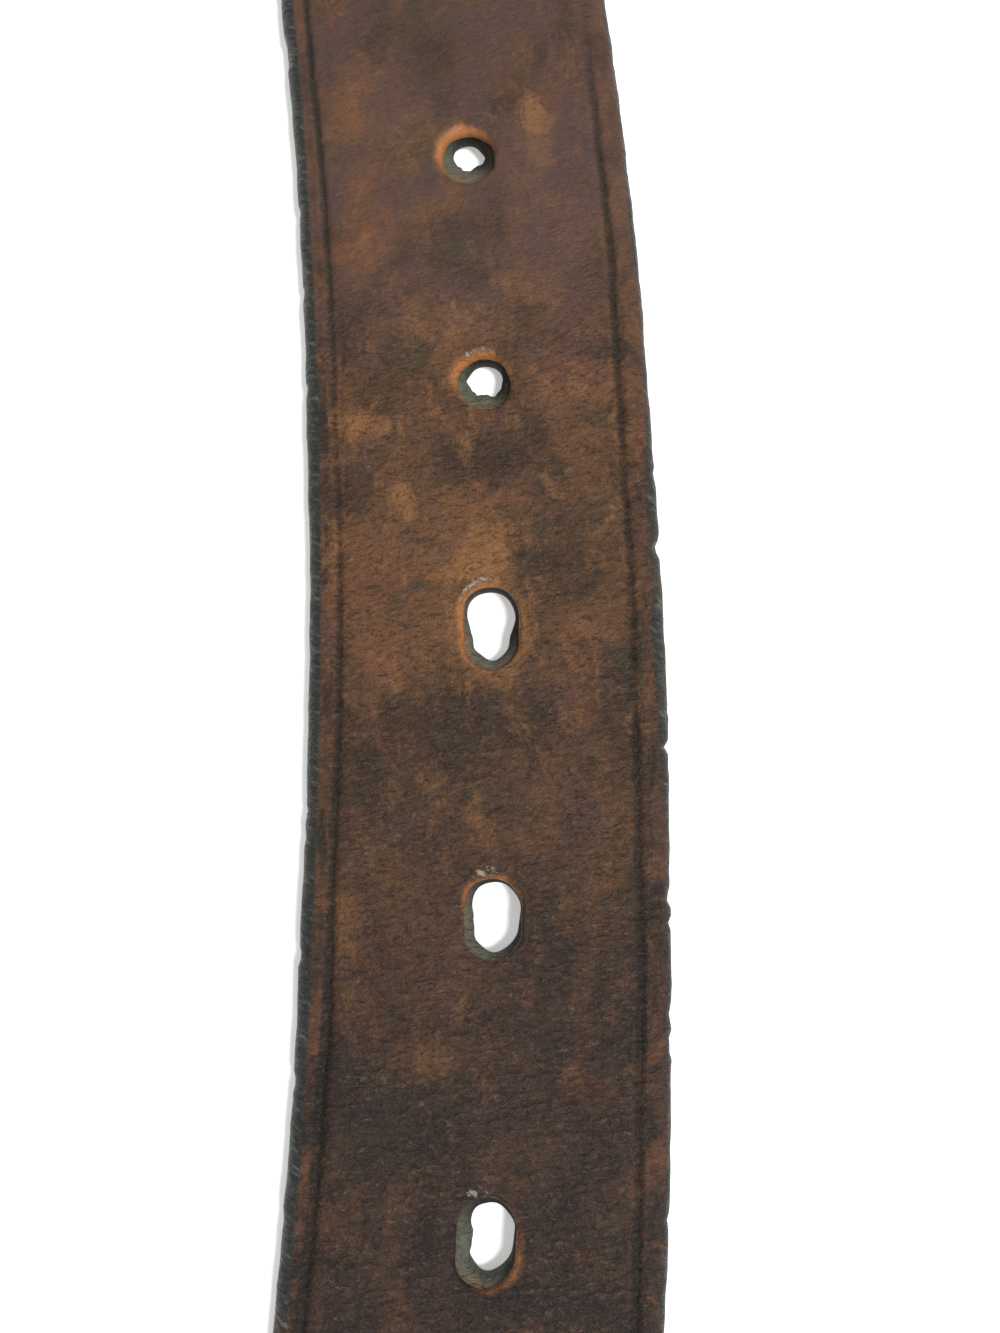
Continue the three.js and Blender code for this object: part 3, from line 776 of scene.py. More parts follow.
class Finish:
    """A node material, built up from left to right, with its colour painted on in layers."""

    def __init__(self, name):
        self.material = bpy.data.materials.new(name)
        self.material.use_nodes = True
        self.tree = self.material.node_tree
        self.shader = self.tree.nodes["Principled BSDF"]
        self.colour = None

    def connect(self, socket, value):
        if isinstance(value, bpy.types.NodeSocket):
            self.tree.links.new(value, socket)
        elif isinstance(value, tuple) and len(value) == 3 and socket.type == "RGBA":
            socket.default_value = (*value, 1)
        else:
            socket.default_value = value

    def node(self, kind, inputs=None, output=0, **settings):
        made = self.tree.nodes.new(kind)
        for key, value in settings.items():
            setattr(made, key, value)
        for key, value in (inputs or {}).items():
            self.connect(made.inputs[key], value)
        return made.outputs[output]

    def value(self, name, output="Fac"):
        """One of the mesh's own surface values."""
        return self.node("ShaderNodeAttribute", attribute_name=name, output=output)

    def object_place(self):
        """Places in millimetres on a piece that has no named place of its own."""
        place = self.node("ShaderNodeTexCoord", output="Object")
        return self.stretched(place, (1 / MM, 1 / MM, 1 / MM))

    def stretched(self, place, scale, turn=0):
        rotation = (0, 0, math.radians(turn))
        turned = self.node("ShaderNodeMapping", {"Vector": place, "Rotation": rotation})
        return self.node("ShaderNodeMapping", {"Vector": turned, "Scale": scale})

    def noise(self, place, size, detail=3, roughness=0.55, distortion=0):
        inputs = {"Vector": place, "Scale": 1 / size, "Detail": detail}
        inputs |= {"Roughness": roughness, "Distortion": distortion}
        return self.node("ShaderNodeTexNoise", inputs)

    def math(self, operation, a, b, clamp=False):
        return self.node("ShaderNodeMath", {0: a, 1: b}, operation=operation, use_clamp=clamp)

    def times(self, a, b):
        return self.math("MULTIPLY", a, b)

    def plus(self, a, b, clamp=False):
        return self.math("ADD", a, b, clamp)

    def minus(self, a, b):
        return self.math("SUBTRACT", a, b)

    def step(self, value, low, high, start=0, end=1):
        """A smooth change from start to end while value goes from low to high."""
        inputs = {"Value": value, "From Min": low, "From Max": high, "To Min": start, "To Max": end}
        return self.node("ShaderNodeMapRange", inputs, interpolation_type="SMOOTHSTEP")

    def broken(self, mask, breakup, low, high):
        """A soft mask with its edge broken up by noise, so that it looks worn and not painted."""
        swing = self.times(self.minus(breakup, 0.5), 2.4)
        return self.step(self.plus(mask, swing), low, high)

    def blend(self, share, under, over):
        inputs = {"Factor": share, 6: under, 7: over}
        return self.node("ShaderNodeMix", inputs, 2, data_type="RGBA")

    def paint(self, share, over):
        """Lays another colour over what is painted so far."""
        self.colour = self.blend(share, self.colour, over)

    def bump(self, height, distance, under=None):
        inputs = {"Height": height, "Strength": 1, "Distance": distance * MM}
        if under is not None:
            inputs["Normal"] = under
        return self.node("ShaderNodeBump", inputs)

    def finish(self, **sockets):
        for key, value in {"Base_Color": self.colour, **sockets}.items():
            self.connect(self.shader.inputs[key.replace("_", " ")], value)
        return self.material


# Colours are for a surface lit so that white paper is just white.
BLACK = linear(30, 28, 25)
BROWN = linear(106, 72, 47)
DEEP_BROWN = linear(58, 43, 31)
GREY_PURPLE = linear(78, 58, 54)
OLIVE = linear(62, 52, 35)
TAN = linear(140, 97, 58)
ORANGE = linear(178, 116, 68)
RUST = linear(108, 66, 46)
BUCKLE_SIDE_DARK = linear(38, 31, 30)
# lighter tan on the grain's ridges: painted highlight
RIDGE_HIGHLIGHT_TAN = linear(122, 92, 66)
# pale colour of the torn flecks: painted highlight
SHRED_GLINT_GREY = linear(178, 164, 150)
EDGE_BLACK = linear(42, 45, 42)
# pale grey of the painted highlights on the black edges
EDGE_GLINT_GREY = linear(92, 100, 98)
# grey-green of the hole walls and their skirts: painted shade down the holes
WALL_SHADE_GREY = linear(94, 96, 84)
SUEDE = linear(118, 92, 70)
SUEDE_DARK = linear(84, 64, 48)
KEEPER_BROWN = linear(78, 56, 43)
KEEPER_DARK = linear(52, 40, 33)
KEEPER_RUBBED = linear(112, 78, 54)
BRASS = linear(214, 176, 104)
TARNISH = linear(122, 92, 50)
BRASS_GRIME = linear(58, 44, 26)
VERDIGRIS = linear(60, 74, 56)
SEAM_BLACK = linear(34, 27, 18)
STEEL = linear(156, 154, 150)
STEEL_DULL = linear(126, 124, 120)
STEEL_RUST = linear(104, 66, 42)
PAPER = linear(250, 250, 249)
PAPER_SHADE = linear(246, 247, 246)
FLOOR_GLOW = 0.32  # keeps the shadow beside the strap faint


def strap_textures(f):
    """The places and noises that several layers of the strap's leather share."""
    t = SimpleNamespace(place=f.value("place", "Vector"))
    t.flat = f.stretched(t.place, (1, 1, 0))
    parts = [f.node("ShaderNodeSeparateXYZ", {0: t.place}, axis) for axis in "XYZ"]
    t.across, t.along, t.height = parts
    t.far = f.step(t.along, MIDDLE_HOLE + 18, MIDDLE_HOLE + 42)
    t.relief = f.step(t.far, 0, 1, 1, 0.35)  # the grain is smoother towards the tip
    t.broad = f.noise(t.flat, 13, 6, 0.65, 0.6)
    t.olive = f.noise(f.stretched(t.place, (1, 1.3, 0)), 8, 6, 0.7, 0.7)
    t.middling = f.noise(f.stretched(t.place, (1, 0.8, 0)), 5.5, 6, 0.7, 0.5)
    t.cloud = f.noise(f.stretched(t.place, (1, 0.7, 0.1)), 3.6, 8, 0.8, 0.8)
    t.small = f.noise(t.flat, 2.2, 6, 0.75, 0.3)
    t.grit = f.noise(t.flat, 0.55, 4, 0.75)
    lines = f.noise(f.stretched(t.place, (1 / 1.1, 1 / 0.52, 0.3), -12), 1, 3, 0.6, 1.3)
    pebbles = f.noise(f.stretched(t.place, (1, 1.7, 0.3), 8), 0.62, 2, 0.55, 0.6)
    t.grain = f.plus(f.times(lines, 0.6), f.times(pebbles, 0.4))
    t.hatch = f.noise(f.stretched(t.place, (0.9, 2.6, 1), 24), 1, 3, 0.6)
    torn = f.value("torn")
    # torn flecks: their bump is relief, and their pale colour is painted highlight
    shred = f.noise(f.stretched(t.place, (0.8, 1.5, 1), 35), 0.62, 3, 0.6)
    shred = f.step(f.plus(shred, f.times(torn, 0.28)), 0.68, 0.84)
    t.shred = f.times(shred, f.step(torn, 0.2, 0.6))
    return t


def paint_grain(f, t):
    """Mottled brown, darker on the buckle side of the middle hole, greyer towards the tip, and tan
    where rubbed.
    """
    f.colour = f.blend(f.step(t.broad, 0.36, 0.64), DEEP_BROWN, BROWN)
    purple = f.times(f.step(t.middling, 0.46, 0.70, 0, 0.8), f.step(t.far, 0, 1, 0.7, 1))
    f.paint(purple, GREY_PURPLE)
    f.paint(f.step(t.olive, 0.50, 0.66, 0, 0.75), OLIVE)
    cool = f.times(f.step(t.across, -4, 11), f.step(t.broad, 0.40, 0.58))
    f.paint(f.times(f.times(cool, t.far), 0.6), GREY_PURPLE)
    f.paint(f.times(f.broken(f.value("red"), t.cloud, 0.35, 1.1), 0.55), RUST)
    oil = f.blend(f.step(t.olive, 0.4, 0.6), DEEP_BROWN, OLIVE)
    f.paint(f.times(f.broken(f.value("dark"), t.cloud, 0.25, 0.85), 0.9), oil)
    f.paint(f.step(f.noise(t.flat, 3.4, 6, 0.8, 0.4), 0.54, 0.74, 0, 0.6), RUST)
    f.paint(f.times(f.broken(f.value("tan"), t.cloud, 0.32, 1), 0.8), TAN)
    streaks = f.noise(f.stretched(t.place, (1.1, 0.6, 0)), 3.2, 6, 0.75, 0.5)
    f.paint(f.times(f.step(streaks, 0.52, 0.70, 0, 0.6), f.step(t.far, 0, 1, 1, 0.55)), TAN)
    # darker on the buckle side of the middle hole, fading further towards the buckle
    near = f.step(t.along, MIDDLE_HOLE - 46, MIDDLE_HOLE + 8, 1, 0)
    near = f.times(near, f.step(t.along, MIDDLE_HOLE - 150, MIDDLE_HOLE - 80, 0.35, 1))
    f.paint(f.times(near, f.step(t.middling, 0.36, 0.62, 0.9, 0.6)), BUCKLE_SIDE_DARK)
    f.paint(f.times(t.far, f.step(t.middling, 0.36, 0.6, 0.05, 0.6)), GREY_PURPLE)
    # darkened grain valleys are painted shade, and the lighter ridges are painted highlight
    f.paint(f.times(f.step(t.grain, 0.34, 0.50, 0.65, 0), t.relief), BLACK)
    f.paint(f.times(f.step(t.grain, 0.54, 0.70, 0, 0.42), t.relief), RIDGE_HIGHLIGHT_TAN)
    f.paint(f.step(t.grit, 0.52, 0.75, 0, 0.35), BLACK)


def paint_edges(f, t):
    """Rubbed and grimy margins, black burnished edges flecked with painted highlights, and the
    creased lines.
    """
    worn = f.times(f.step(f.value("margin"), 0.3, 0.7, 0, 0.6), f.step(t.cloud, 0.44, 0.66))
    f.paint(worn, f.blend(f.step(t.small, 0.4, 0.6), RUST, BROWN))
    grime = f.noise(f.stretched(t.place, (1, 0.35, 0)), 3, 5, 0.7, 0.4)
    grime = f.times(f.step(grime, 0.50, 0.62, 0, 0.75), f.value("margin"))
    f.paint(f.times(grime, f.step(t.far, 0, 1, 1, 0.3)), BLACK)
    # grey flecks on the black edge are painted highlights
    edge_glint_noise = f.noise(f.stretched(t.place, (0.8, 3.2, 1), 30), 1.3, 3, 0.7)
    edge = f.blend(f.step(edge_glint_noise, 0.50, 0.72, 0, 0.8), EDGE_BLACK, EDGE_GLINT_GREY)
    edge = f.blend(f.step(t.hatch, 0.38, 0.5, 0.8, 0), edge, BLACK)
    fray = f.plus(f.times(t.hatch, 0.4), f.times(t.cloud, 1.3))
    burnish = f.plus(f.value("edge"), f.minus(fray, 0.78))
    f.paint(f.step(burnish, 0.35, 0.85, 0, 0.94), edge)
    fuzz = f.minus(f.plus(t.small, t.grit), 1)
    line = f.plus(f.value("crease"), f.times(fuzz, 0.9))
    f.paint(f.step(line, 0.08, 0.9, 0, 0.78), BLACK)


def paint_holes(f, t):
    """Rims rubbed orange, torn skin beside them flecked with painted highlight, and walls painted
    grey lower down and black on their right as painted shade.
    """
    rim = f.plus(f.value("rim"), f.times(f.minus(t.cloud, 0.5), 1.6))
    f.paint(f.step(rim, 0.05, 1, 0, 0.92), ORANGE)
    # pale flecks on the torn skin are painted highlight
    f.paint(f.times(t.shred, 0.6), SHRED_GLINT_GREY)
    height = f.plus(t.height, f.times(f.minus(t.small, 0.5), 1.4))
    # the wall is grey below its orange top: painted shade down the hole
    top = f.times(f.step(height, 1.9, 3), f.step(f.value("rim"), 0.15, 0.8))
    wall = f.blend(top, WALL_SHADE_GREY, ORANGE)
    wall = f.blend(f.step(t.grit, 0.45, 0.7, 0, 0.5), wall, BLACK)
    # black on the right of each wall is painted shade
    f.paint(f.value("wall"), f.blend(f.value("wall_shade"), wall, BLACK))


def strap_leather():
    """Oiled harness leather, with suede on its flesh side."""
    f = Finish("strap_leather")
    t = strap_textures(f)
    paint_grain(f, t)
    paint_edges(f, t)
    paint_holes(f, t)
    suede = f.blend(f.step(t.small, 0.35, 0.65), SUEDE_DARK, SUEDE)
    suede = f.blend(f.step(f.noise(t.flat, 0.4, 3, 0.8), 0.45, 0.7, 0, 0.5), suede, SUEDE_DARK)
    flesh = f.step(f.value("flesh"), 0.3, 0.8)
    f.paint(flesh, suede)
    normal = f.bump(f.times(t.grain, t.relief), 0.56)
    normal = f.bump(f.times(t.hatch, f.value("edge")), 0.35, normal)
    normal = f.bump(f.plus(f.times(t.grit, 0.3), t.shred), 0.14, normal)
    normal = f.bump(t.small, 0.16, normal)
    rough = f.step(t.small, 0.3, 0.7, 0.40, 0.56)
    rough = f.minus(rough, f.times(f.value("edge"), 0.08))
    rough = f.plus(rough, f.times(flesh, 0.35), clamp=True)
    rough = f.plus(rough, f.times(f.value("wall"), 0.35), clamp=True)
    return f.finish(Roughness=rough, Normal=normal, Specular_IOR_Level=0.24)


def keeper_leather():
    """Thin dark strap leather, rubbed paler on its corners."""
    f = Finish("keeper_leather")
    place = f.object_place()
    small = f.noise(place, 1.1, 4, 0.7)
    f.colour = f.blend(f.step(f.noise(place, 6, 4, 0.6, 0.3), 0.35, 0.65), KEEPER_DARK, KEEPER_BROWN)
    f.paint(f.times(f.broken(f.value("rub"), small, 0.35, 0.9), 0.7), KEEPER_RUBBED)
    f.paint(f.step(f.value("edge"), 0.3, 0.8, 0, 0.9), BLACK)
    f.paint(f.step(f.value("crease"), 0.2, 0.8, 0, 0.85), BLACK)
    suede = f.blend(f.step(small, 0.4, 0.6), SUEDE_DARK, SUEDE)
    f.paint(f.step(f.value("flesh"), 0.4, 0.6), suede)
    normal = f.bump(f.noise(place, 0.7, 3, 0.6, 0.4), 0.10)
    normal = f.bump(f.noise(place, 0.25, 2, 0.5), 0.04, normal)
    rough = f.step(small, 0.3, 0.7, 0.42, 0.62)
    return f.finish(Roughness=rough, Normal=normal, Specular_IOR_Level=0.4)


def brass(name, cover, rough=0.34):
    """Old brass: brown tarnish over yellow metal, rubbed bright where it is handled."""
    f = Finish(name)
    place = f.object_place()
    small = f.noise(place, 0.9, 4, 0.7)
    clear = f.plus(f.value("rub"), f.minus(f.noise(place, 5, 5, 0.65, 0.4), cover))
    f.colour = f.blend(f.step(clear, 0.05, 0.55), TARNISH, BRASS)
    f.paint(f.step(small, 0.55, 0.75, 0, 0.6), BRASS_GRIME)
    spots = f.step(f.noise(place, 0.45, 3, 0.8), 0.66, 0.74, 0, 0.7)
    f.paint(spots, VERDIGRIS)
    f.paint(f.step(f.value("seam"), 0.3, 0.8), SEAM_BLACK)
    scratches = f.noise(f.stretched(place, (0.25, 2.4, 2.4)), 0.5, 2, 0.5)
    normal = f.bump(small, 0.04, f.bump(scratches, 0.012))
    roughness = f.step(small, 0.35, 0.7, rough, rough + 0.2)
    metal = f.step(spots, 0, 0.7, 1, 0.45)
    return f.finish(Metallic=metal, Roughness=roughness, Normal=normal)


def staple_steel():
    """Plain steel wire, dull in places and spotted with rust."""
    f = Finish("staple_steel")
    place = f.object_place()
    small = f.noise(place, 0.5, 4, 0.7)
    f.colour = f.blend(f.step(small, 0.35, 0.65), STEEL_DULL, STEEL)
    rust = f.step(f.noise(place, 0.8, 5, 0.75), 0.56, 0.66)
    f.paint(rust, STEEL_RUST)
    metal, rough = f.step(rust, 0, 1, 1, 0.2), f.step(rust, 0, 1, 0.32, 0.75)
    return f.finish(Metallic=metal, Roughness=rough, Normal=f.bump(small, 0.03))


def paper():
    """The pale surface that the strop lies on."""
    f = Finish("pale_floor")
    f.colour = f.blend(f.noise(f.object_place(), 60, 2), PAPER_SHADE, PAPER)
    glow = {"Emission_Color": (1.0, 1.0, 0.99), "Emission_Strength": FLOOR_GLOW}
    return f.finish(Roughness=0.9, Specular_IOR_Level=0.1, **glow)


# ---- pieces ----

def beside_bar(points, station):
    """Points that were made round the origin, moved to a station along the strap."""
    return np.asarray(points) + (BAR[0], BAR[1] + station, 0)


def place_piece(name, points, faces, material, values, body, node, sharp=40):
    """A piece that moves with a body and stands for a CAD node."""
    piece = new_object(name, points, faces, material, values, sharp)
    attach(piece, body)
    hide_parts(node)


def make_strap():
    (x, s, h, wall), faces = strap_mesh()
    values = strap_values(x, s, h, wall)
    strap = new_object("strap_body", surface(x, s, h), faces, strap_leather(), values, sharp=62)
    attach(strap, "strap")
    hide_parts("strap")


def frame_path():
    """The middle line of the buckle's wire, once round from the heel bar."""
    half, heel, front = BUCKLE_INSIDE / 2 + WIRE_RADIUS, 2.6, 5
    side, nose, low = half - heel, half - front, front - HEEL_TO_FRONT
    bends = [
        arc((-side, -heel), heel, 90, 180, 14),
        arc((-nose, low), front, 180, 270, 20),
        arc((nose, low), front, 270, 360, 20),
        arc((side, -heel), heel, 0, 90, 14),
    ]
    return np.array([(x, y, 0) for x, y in joined(bends, (29, 39, 29, 49))])


def make_frame(material):
    """The cast frame: a round bar a little flattened underneath, dinged and rubbed on its top."""
    path = frame_path()
    turn = circle(28)
    up, out = np.sin(turn), np.cos(turn)
    flat = np.where(up < 0, 0.93, 0.99)
    section = np.stack([WIRE_RADIUS * up * flat, WIRE_RADIUS * 0.985 * out], -1)
    points, faces = sweep(path, (0, 0, 1), section, closed=True)
    turned = np.tile(up, len(path))
    front = ease(0, 1, (-points[:, 1] - 8) / 20)
    rub = 0.55 * ease(0, 1, turned) + 0.25 * front
    dings = np.abs(field(points[:, 0] + points[:, 2], points[:, 1], 2.2, 2.5))
    centre = np.repeat(path, len(turn), axis=0)
    points = centre + (points - centre) * (1 - DING_DEPTH * dings)[:, None]
    values = {"rub": rub, "seam": np.zeros(len(points))}
    place_piece("frame_casting", points + BAR, faces, material, values,
                "buckle", "buckle_frame")


def smooth_path(points, steps):
    """A Catmull-Rom curve through points, evenly stepped between each pair."""
    p = np.array([2 * points[0] - points[1], *points, 2 * points[-1] - points[-2]])
    line = []
    for i in range(1, len(p) - 2):
        for t in np.linspace(0, 1, steps, endpoint=False):
            a = 2 * p[i] + (p[i + 1] - p[i - 1]) * t
            b = (2 * p[i - 1] - 5 * p[i] + 4 * p[i + 1] - p[i + 2]) * t**2
            c = (3 * p[i] - p[i - 1] - 3 * p[i + 1] + p[i + 2]) * t**3
            line.append((a + b + c) / 2)
    return np.array([*line, p[-2]])


def make_prong(material):
    """One drawn bar: flattened and curled round the heel bar, then arched over to the roller."""
    eye_radius = 3.1
    wrap = [(0, y, z) for y, z in arc((0, 0), eye_radius, -205, 75, 63)]
    knots = np.array([
        (0, -1.6, 3.25), (0, -6, 4.5), (0, -12, 5.6), (0, -21, 6.1), (0, -30, 5.35), (0, -35, 4.75),
    ])
    tongue = smooth_path(np.array([wrap[-1], *knots]), 16)
    path = np.array([*wrap[:-1], *tongue])
    gone = np.concatenate([[0], np.cumsum(np.linalg.norm(np.diff(path, axis=0), axis=1))])
    start = gone[len(wrap) - 1]
    grown = ease(0, 1, (gone - start - 0.5) / 6)
    taper = ease(0, 1, (gone - start - 14) / 24)
    half_wide = 2.5 - 0.6 * grown - 0.35 * taper
    half_high = 0.8 + 0.68 * grown - 0.35 * taper
    left = np.minimum(gone[-1] - gone, 1.8) / 1.8
    nose = np.sqrt(np.maximum(1 - (1 - left) ** 2, 0.004))
    back = np.minimum(gone, 0.4) / 0.4
    nose = nose * np.sqrt(np.maximum(1 - 0.5 * (1 - back) ** 2, 0.1))
    turn = circle(32)
    power = (2 / (3.6 - 1.1 * grown))[:, None]
    wide = np.sign(np.cos(turn)) * np.abs(np.cos(turn)) ** power * (half_wide * nose)[:, None]
    high = np.sign(np.sin(turn)) * np.abs(np.sin(turn)) ** power * (half_high * nose)[:, None]
    points, faces = sweep(path, (1, 0, 0), np.stack([wide, high], -1))
    on_top = ease(0, 1, (points[:, 2] - 4) / 3)
    values = {"rub": 0.25 + 0.5 * on_top, "seam": np.zeros(len(points))}
    place_piece("prong_bar", points + BAR, faces, material, values,
                "prong", "buckle_prong", sharp=50)


def make_roller(material):
    """A piece of sheet brass rolled into a tube, with its butted seam underneath."""
    outer, inner, half = 3.58, 2.32, 13.0
    gap = 1.8  # from the middle of the seam to each edge of the sheet, in degrees
    around = arc((0, 0), (outer + inner) / 2, gap - 90, 270 - gap, 96)
    section = rounded_bar(half, (outer - inner) / 2, 0.38, 4)
    points, faces = sweep([(0, y, z) for y, z in around], (1, 0, 0), section)
    ends = np.abs(points[:, 0]) / half
    angle = np.degrees(np.arctan2(points[:, 2], points[:, 1]))
    values = {"rub": 0.75 * (1 - ends**6) + 0.05, "seam": bell(angle + 90, 5)}
    points = points + BAR - (0, HEEL_TO_FRONT, 0)
    place_piece("roller_tube", points, faces, material, values,
                "roller", "buckle_roller")


def make_post(index, station, material):
    """Chicago screw post: a domed head with a turned rim and a barrel through the leather."""
    seat, end = 8.4, 3.1
    dome = [(4.72 * math.cos(a), seat + 0.42 + 0.86 * math.sin(a))
            for a in np.radians(np.linspace(8, 86, 12))]
    profile = [(1.8, end), (2.3, end), (2.48, end + 0.2), (2.48, seat), (4.5, seat)]
    profile += [(4.7, seat + 0.12), (4.74, seat + 0.34), *dome, (0.1, seat + 1.28)]
    points, faces = lathe([(1.8, end + 4.4), *profile])
    radius = np.hypot(points[:, 0], points[:, 1])
    values = {
        "rub": 0.5 * bell(radius - 2, 2.4) + 0.2 * bell(radius - 4.6, 0.3),
        "seam": bell(radius - 4.7, 0.12) * (points[:, 2] < seat + 0.2),
    }
    place_piece(f"post_{index}", beside_bar(points, station), faces, material, values,
                "strap", f"chicago_post_{index}")


def cut_slot(piece, centre, turn):
    """Cuts the driver slot across a screw's head."""
    box = bpy.data.meshes.new("slot_cutter")
    half, depth = DRIVER_SLOT_WIDTH / 2, DRIVER_SLOT_DEPTH
    corners = [(x, y, z) for x in (-6, 6) for y in (-half, half) for z in (-depth, depth)]
    quads = [(0, 1, 3, 2), (4, 6, 7, 5), (0, 4, 5, 1), (2, 3, 7, 6), (0, 2, 6, 4), (1, 5, 7, 3)]
    box.from_pydata((np.array(corners) * MM).tolist(), [], quads)
    cutter = add("slot_cutter", box)
    cutter.matrix_world = Matrix.LocRotScale(centre * MM, Euler((0, 0, turn)), None)
    modifier = piece.modifiers.new("slot", "BOOLEAN")
    modifier.operation = "DIFFERENCE"
    modifier.solver = "EXACT"
    modifier.object = cutter
    bpy.context.view_layer.update()
    shape = piece.evaluated_get(bpy.context.evaluated_depsgraph_get())
    made = bpy.data.meshes.new_from_object(shape)
    piece.modifiers.clear()
    piece.data = made
    made.polygons.foreach_set("use_smooth", [True] * len(made.polygons))
    made.set_sharp_from_angle(angle=math.radians(SCREW_SHARP))
    bpy.data.objects.remove(cutter)
    bpy.data.meshes.remove(box)


def make_screw(index, station, material):
    """Chicago screw: a slotted pan head on the back, with its shank up in the post."""
    seat = 2.5
    bottom = 1.2
    profile = [(0.1, bottom), (3.3, bottom + 0.01), (3.9, bottom + 0.08), (4.4, bottom + 0.28)]
    profile += [(4.66, bottom + 0.55), (4.74, bottom + 0.8), (4.72, seat - 0.12), (4.6, seat)]
    profile += [(1.5, seat), (1.5, 6.8), (1.3, 7.0), (0.1, 7.0)]
    points, faces = lathe(profile)
    radius = np.hypot(points[:, 0], points[:, 1])
    values = {"rub": 0.4 * bell(radius - 3, 2), "seam": np.zeros(len(points))}
    points = beside_bar(points, station)
    screw = new_object(f"screw_{index}", points, faces, material, values, SCREW_SHARP)
    cut_slot(screw, Vector(beside_bar((0, 0, bottom), station)), DRIVER_SLOT_TURN)
    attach(screw, "strap")
    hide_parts(f"chicago_screw_{index}")


KEEPER_BOTTOM = 0.9
KEEPER_TOP = 14.2
KEEPER_HALF = 4.5
KEEPER_LEATHER = 1.6


def keeper_path():
    """Once round the keeper's loop from one end of the strip to the other, both underneath."""
    half = HALF_WIDTH + 0.5 + KEEPER_LEATHER / 2
    bottom = KEEPER_BOTTOM + KEEPER_LEATHER / 2
    top = KEEPER_TOP - KEEPER_LEATHER / 2
    corner = 1.6
    lower = arc((half - corner, bottom + corner), corner, -90, 0, 12)
    upper = arc((half - corner, top - corner), corner, 0, 90, 12)
    line = joined([[(0.17, bottom)], lower, upper, [(0, top)]], (39, 23, 39))
    mirrored = [(-x, z) for x, z in reversed(line[:-1])]
    return np.array([(x, 0, z) for x, z in line + mirrored])


def keeper_section():
    """The strip's section, with a crease near each edge of its outer side."""
    half, thick = KEEPER_HALF, KEEPER_LEATHER / 2
    corner = rounded_bar(half - 0.02, thick - 0.02, 0.42, 5)
    across = np.linspace(half - 0.5, -half + 0.5, 60)
    depth = 0.14 * (bell(across - 3.2, 0.22) + bell(across + 3.2, 0.22))
    outer = np.stack([across, thick - 0.02 - depth], -1)
    return np.concatenate([corner[:6], outer, corner[6:]]), 6, len(outer)


def make_keeper(material):
    """The keeper's strip, rubbed on its upper corners and sagging a little on top."""
    section, before, outer = keeper_section()
    path = keeper_path()
    points, faces = sweep(path, (0, 1, 0), section)
    column = np.tile(np.arange(len(section)), len(path))
    on_outer = (column >= before) & (column < before + outer)
    across = np.tile(section[:, 0], len(path))
    high = points[:, 2] > (KEEPER_TOP + KEEPER_BOTTOM) / 2
    corner = bell(np.abs(points[:, 0]) - 16.6, 1.4)
    swell = 0.05 * field(points[:, 0], points[:, 1] + 2 * points[:, 2], 4, 6.5)
    points[:, 2] = points[:, 2] + np.where(high, -np.abs(swell) - 0.25 * bell(points[:, 0], 9), 0)
    values = {
        "rub": corner * on_outer * np.where(high, 1, 0.4),
        "edge": ease(0, 1, (np.abs(across) - KEEPER_HALF + 0.35) / 0.25),
        "crease": on_outer * (bell(np.abs(across) - 3.2, 0.25)),
        "flesh": (np.tile(section[:, 1], len(path)) < 0.15 - KEEPER_LEATHER / 2).astype(float),
    }
    place_piece("keeper_strip", beside_bar(points, KEEPER_STATION), faces, material, values,
                "keeper", "keeper_loop", sharp=50)


def make_staple(material):
    """A flat wire staple across the keeper's butted ends, its legs up in the leather."""
    half, bend, crown, leg = 2.9, 0.45, 0.3, 2.1
    left = arc((bend - half, crown + bend), bend, 180, 270, 8)
    right = arc((half - bend, crown + bend), bend, 270, 360, 8)
    line = joined([[(-half, leg)], left, right, [(half, leg)]], (9, 15, 9))
    path = [(x, 0, z) for x, z in line]
    points, faces = sweep(path, (0, 1, 0), rounded_bar(0.58, 0.28, 0.14, 3))
    place_piece("staple_wire", beside_bar(points, KEEPER_STATION), faces, material, {},
                "keeper", "keeper_staple", sharp=50)


# ---- camera, light and floor ----

CAMERA_AIM = (0.78, -3.46)  # where the camera looks, from the middle hole's centre
CAMERA_DISTANCE = 102.9
CAMERA_TILT = 10
CAMERA_ROLL = -1.2  # from the strap's heading at the middle hole
CAMERA_LENS = 32.41
SUN_AZIMUTH = -25  # from +X, anticlockwise
SUN_ELEVATION = 66
SUN_WIDTH = 12
SUN_ENERGY = 2.8
SUN_COLOUR = (1, 0.99, 0.975)
FLOOR_HALF = 3000
FLOOR_LEVEL = -0.15


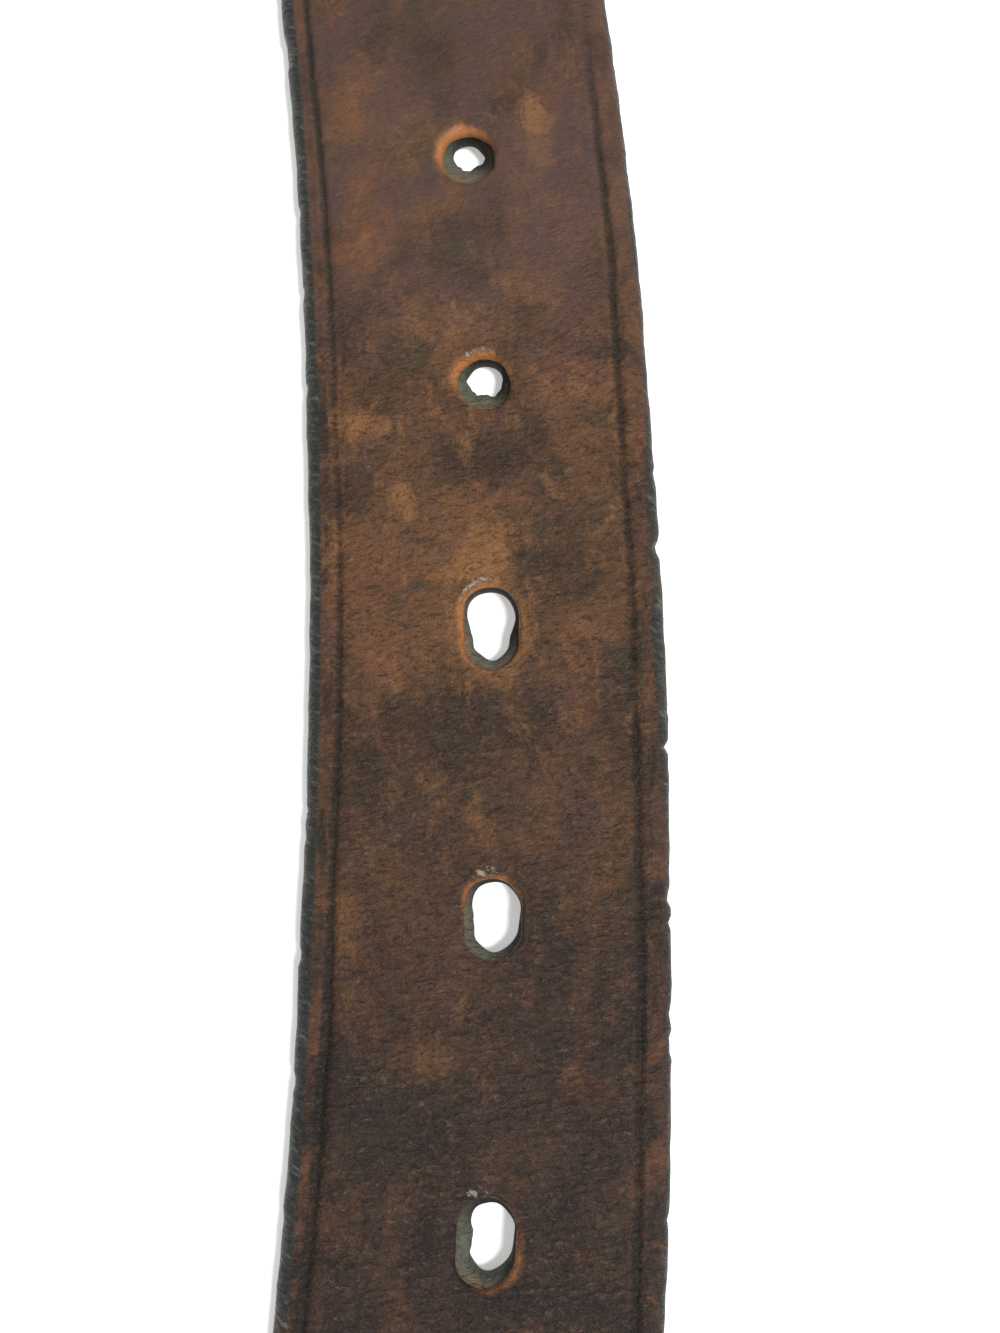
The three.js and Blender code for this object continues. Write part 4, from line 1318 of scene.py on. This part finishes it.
def make_camera():
    """Above the middle hole, tilted a little towards the buckle."""
    heading = float(plan_place(MIDDLE.s)[2])
    turn = Matrix.Rotation(heading + math.radians(CAMERA_ROLL), 3, "Z")
    turned = turn @ Matrix.Rotation(math.radians(CAMERA_TILT), 3, "X")
    hole = Vector(surface(MIDDLE.x, MIDDLE.s, STRAP_THICKNESS))
    eye = hole + turn @ Vector((*CAMERA_AIM, 0)) + turned.col[2] * CAMERA_DISTANCE
    data = bpy.data.cameras.new("camera")
    data.lens = CAMERA_LENS
    data.sensor_width = 36
    data.clip_start = 0.005
    data.clip_end = 20
    camera = add("camera", data)
    camera.matrix_world = Matrix.Translation(eye * MM) @ turned.to_4x4()
    bpy.context.scene.camera = camera


def make_sun():
    data = bpy.data.lights.new("key_light", "SUN")
    data.energy = SUN_ENERGY
    data.angle = math.radians(SUN_WIDTH)
    data.color = SUN_COLOUR
    turn = Euler((0, math.radians(90 - SUN_ELEVATION), math.radians(SUN_AZIMUTH)))
    towards = Vector((0, 0, 1))
    towards.rotate(turn)
    add("key_light", data).rotation_euler = towards.to_track_quat("Z", "Y").to_euler()


def make_studio():
    """Even pale light and the floor."""
    world = bpy.data.worlds.new("studio")
    world.use_nodes = True
    background = world.node_tree.nodes["Background"]
    background.inputs["Color"].default_value = (0.97, 0.985, 1, 1)
    background.inputs["Strength"].default_value = 0.5
    bpy.context.scene.world = world
    bpy.context.scene.view_settings.view_transform = "Standard"
    corners = [(-1, -1), (1, -1), (1, 1), (-1, 1)]
    points = [(a * FLOOR_HALF, b * FLOOR_HALF, FLOOR_LEVEL) for a, b in corners]
    new_object("pale_floor", points, [(0, 1, 2, 3)], paper())


make_camera()
make_sun()
make_studio()
make_strap()
cast_brass = brass("cast_brass", 0.45)
make_frame(cast_brass)
make_prong(cast_brass)
make_roller(brass("rolled_brass", 0.55, 0.26))
turned_brass = brass("turned_brass", 0.4)
for number, place_along in enumerate(SCREW_STATIONS, 1):
    make_post(number, place_along, turned_brass)
    make_screw(number, place_along, turned_brass)
make_keeper(keeper_leather())
make_staple(staple_steel())

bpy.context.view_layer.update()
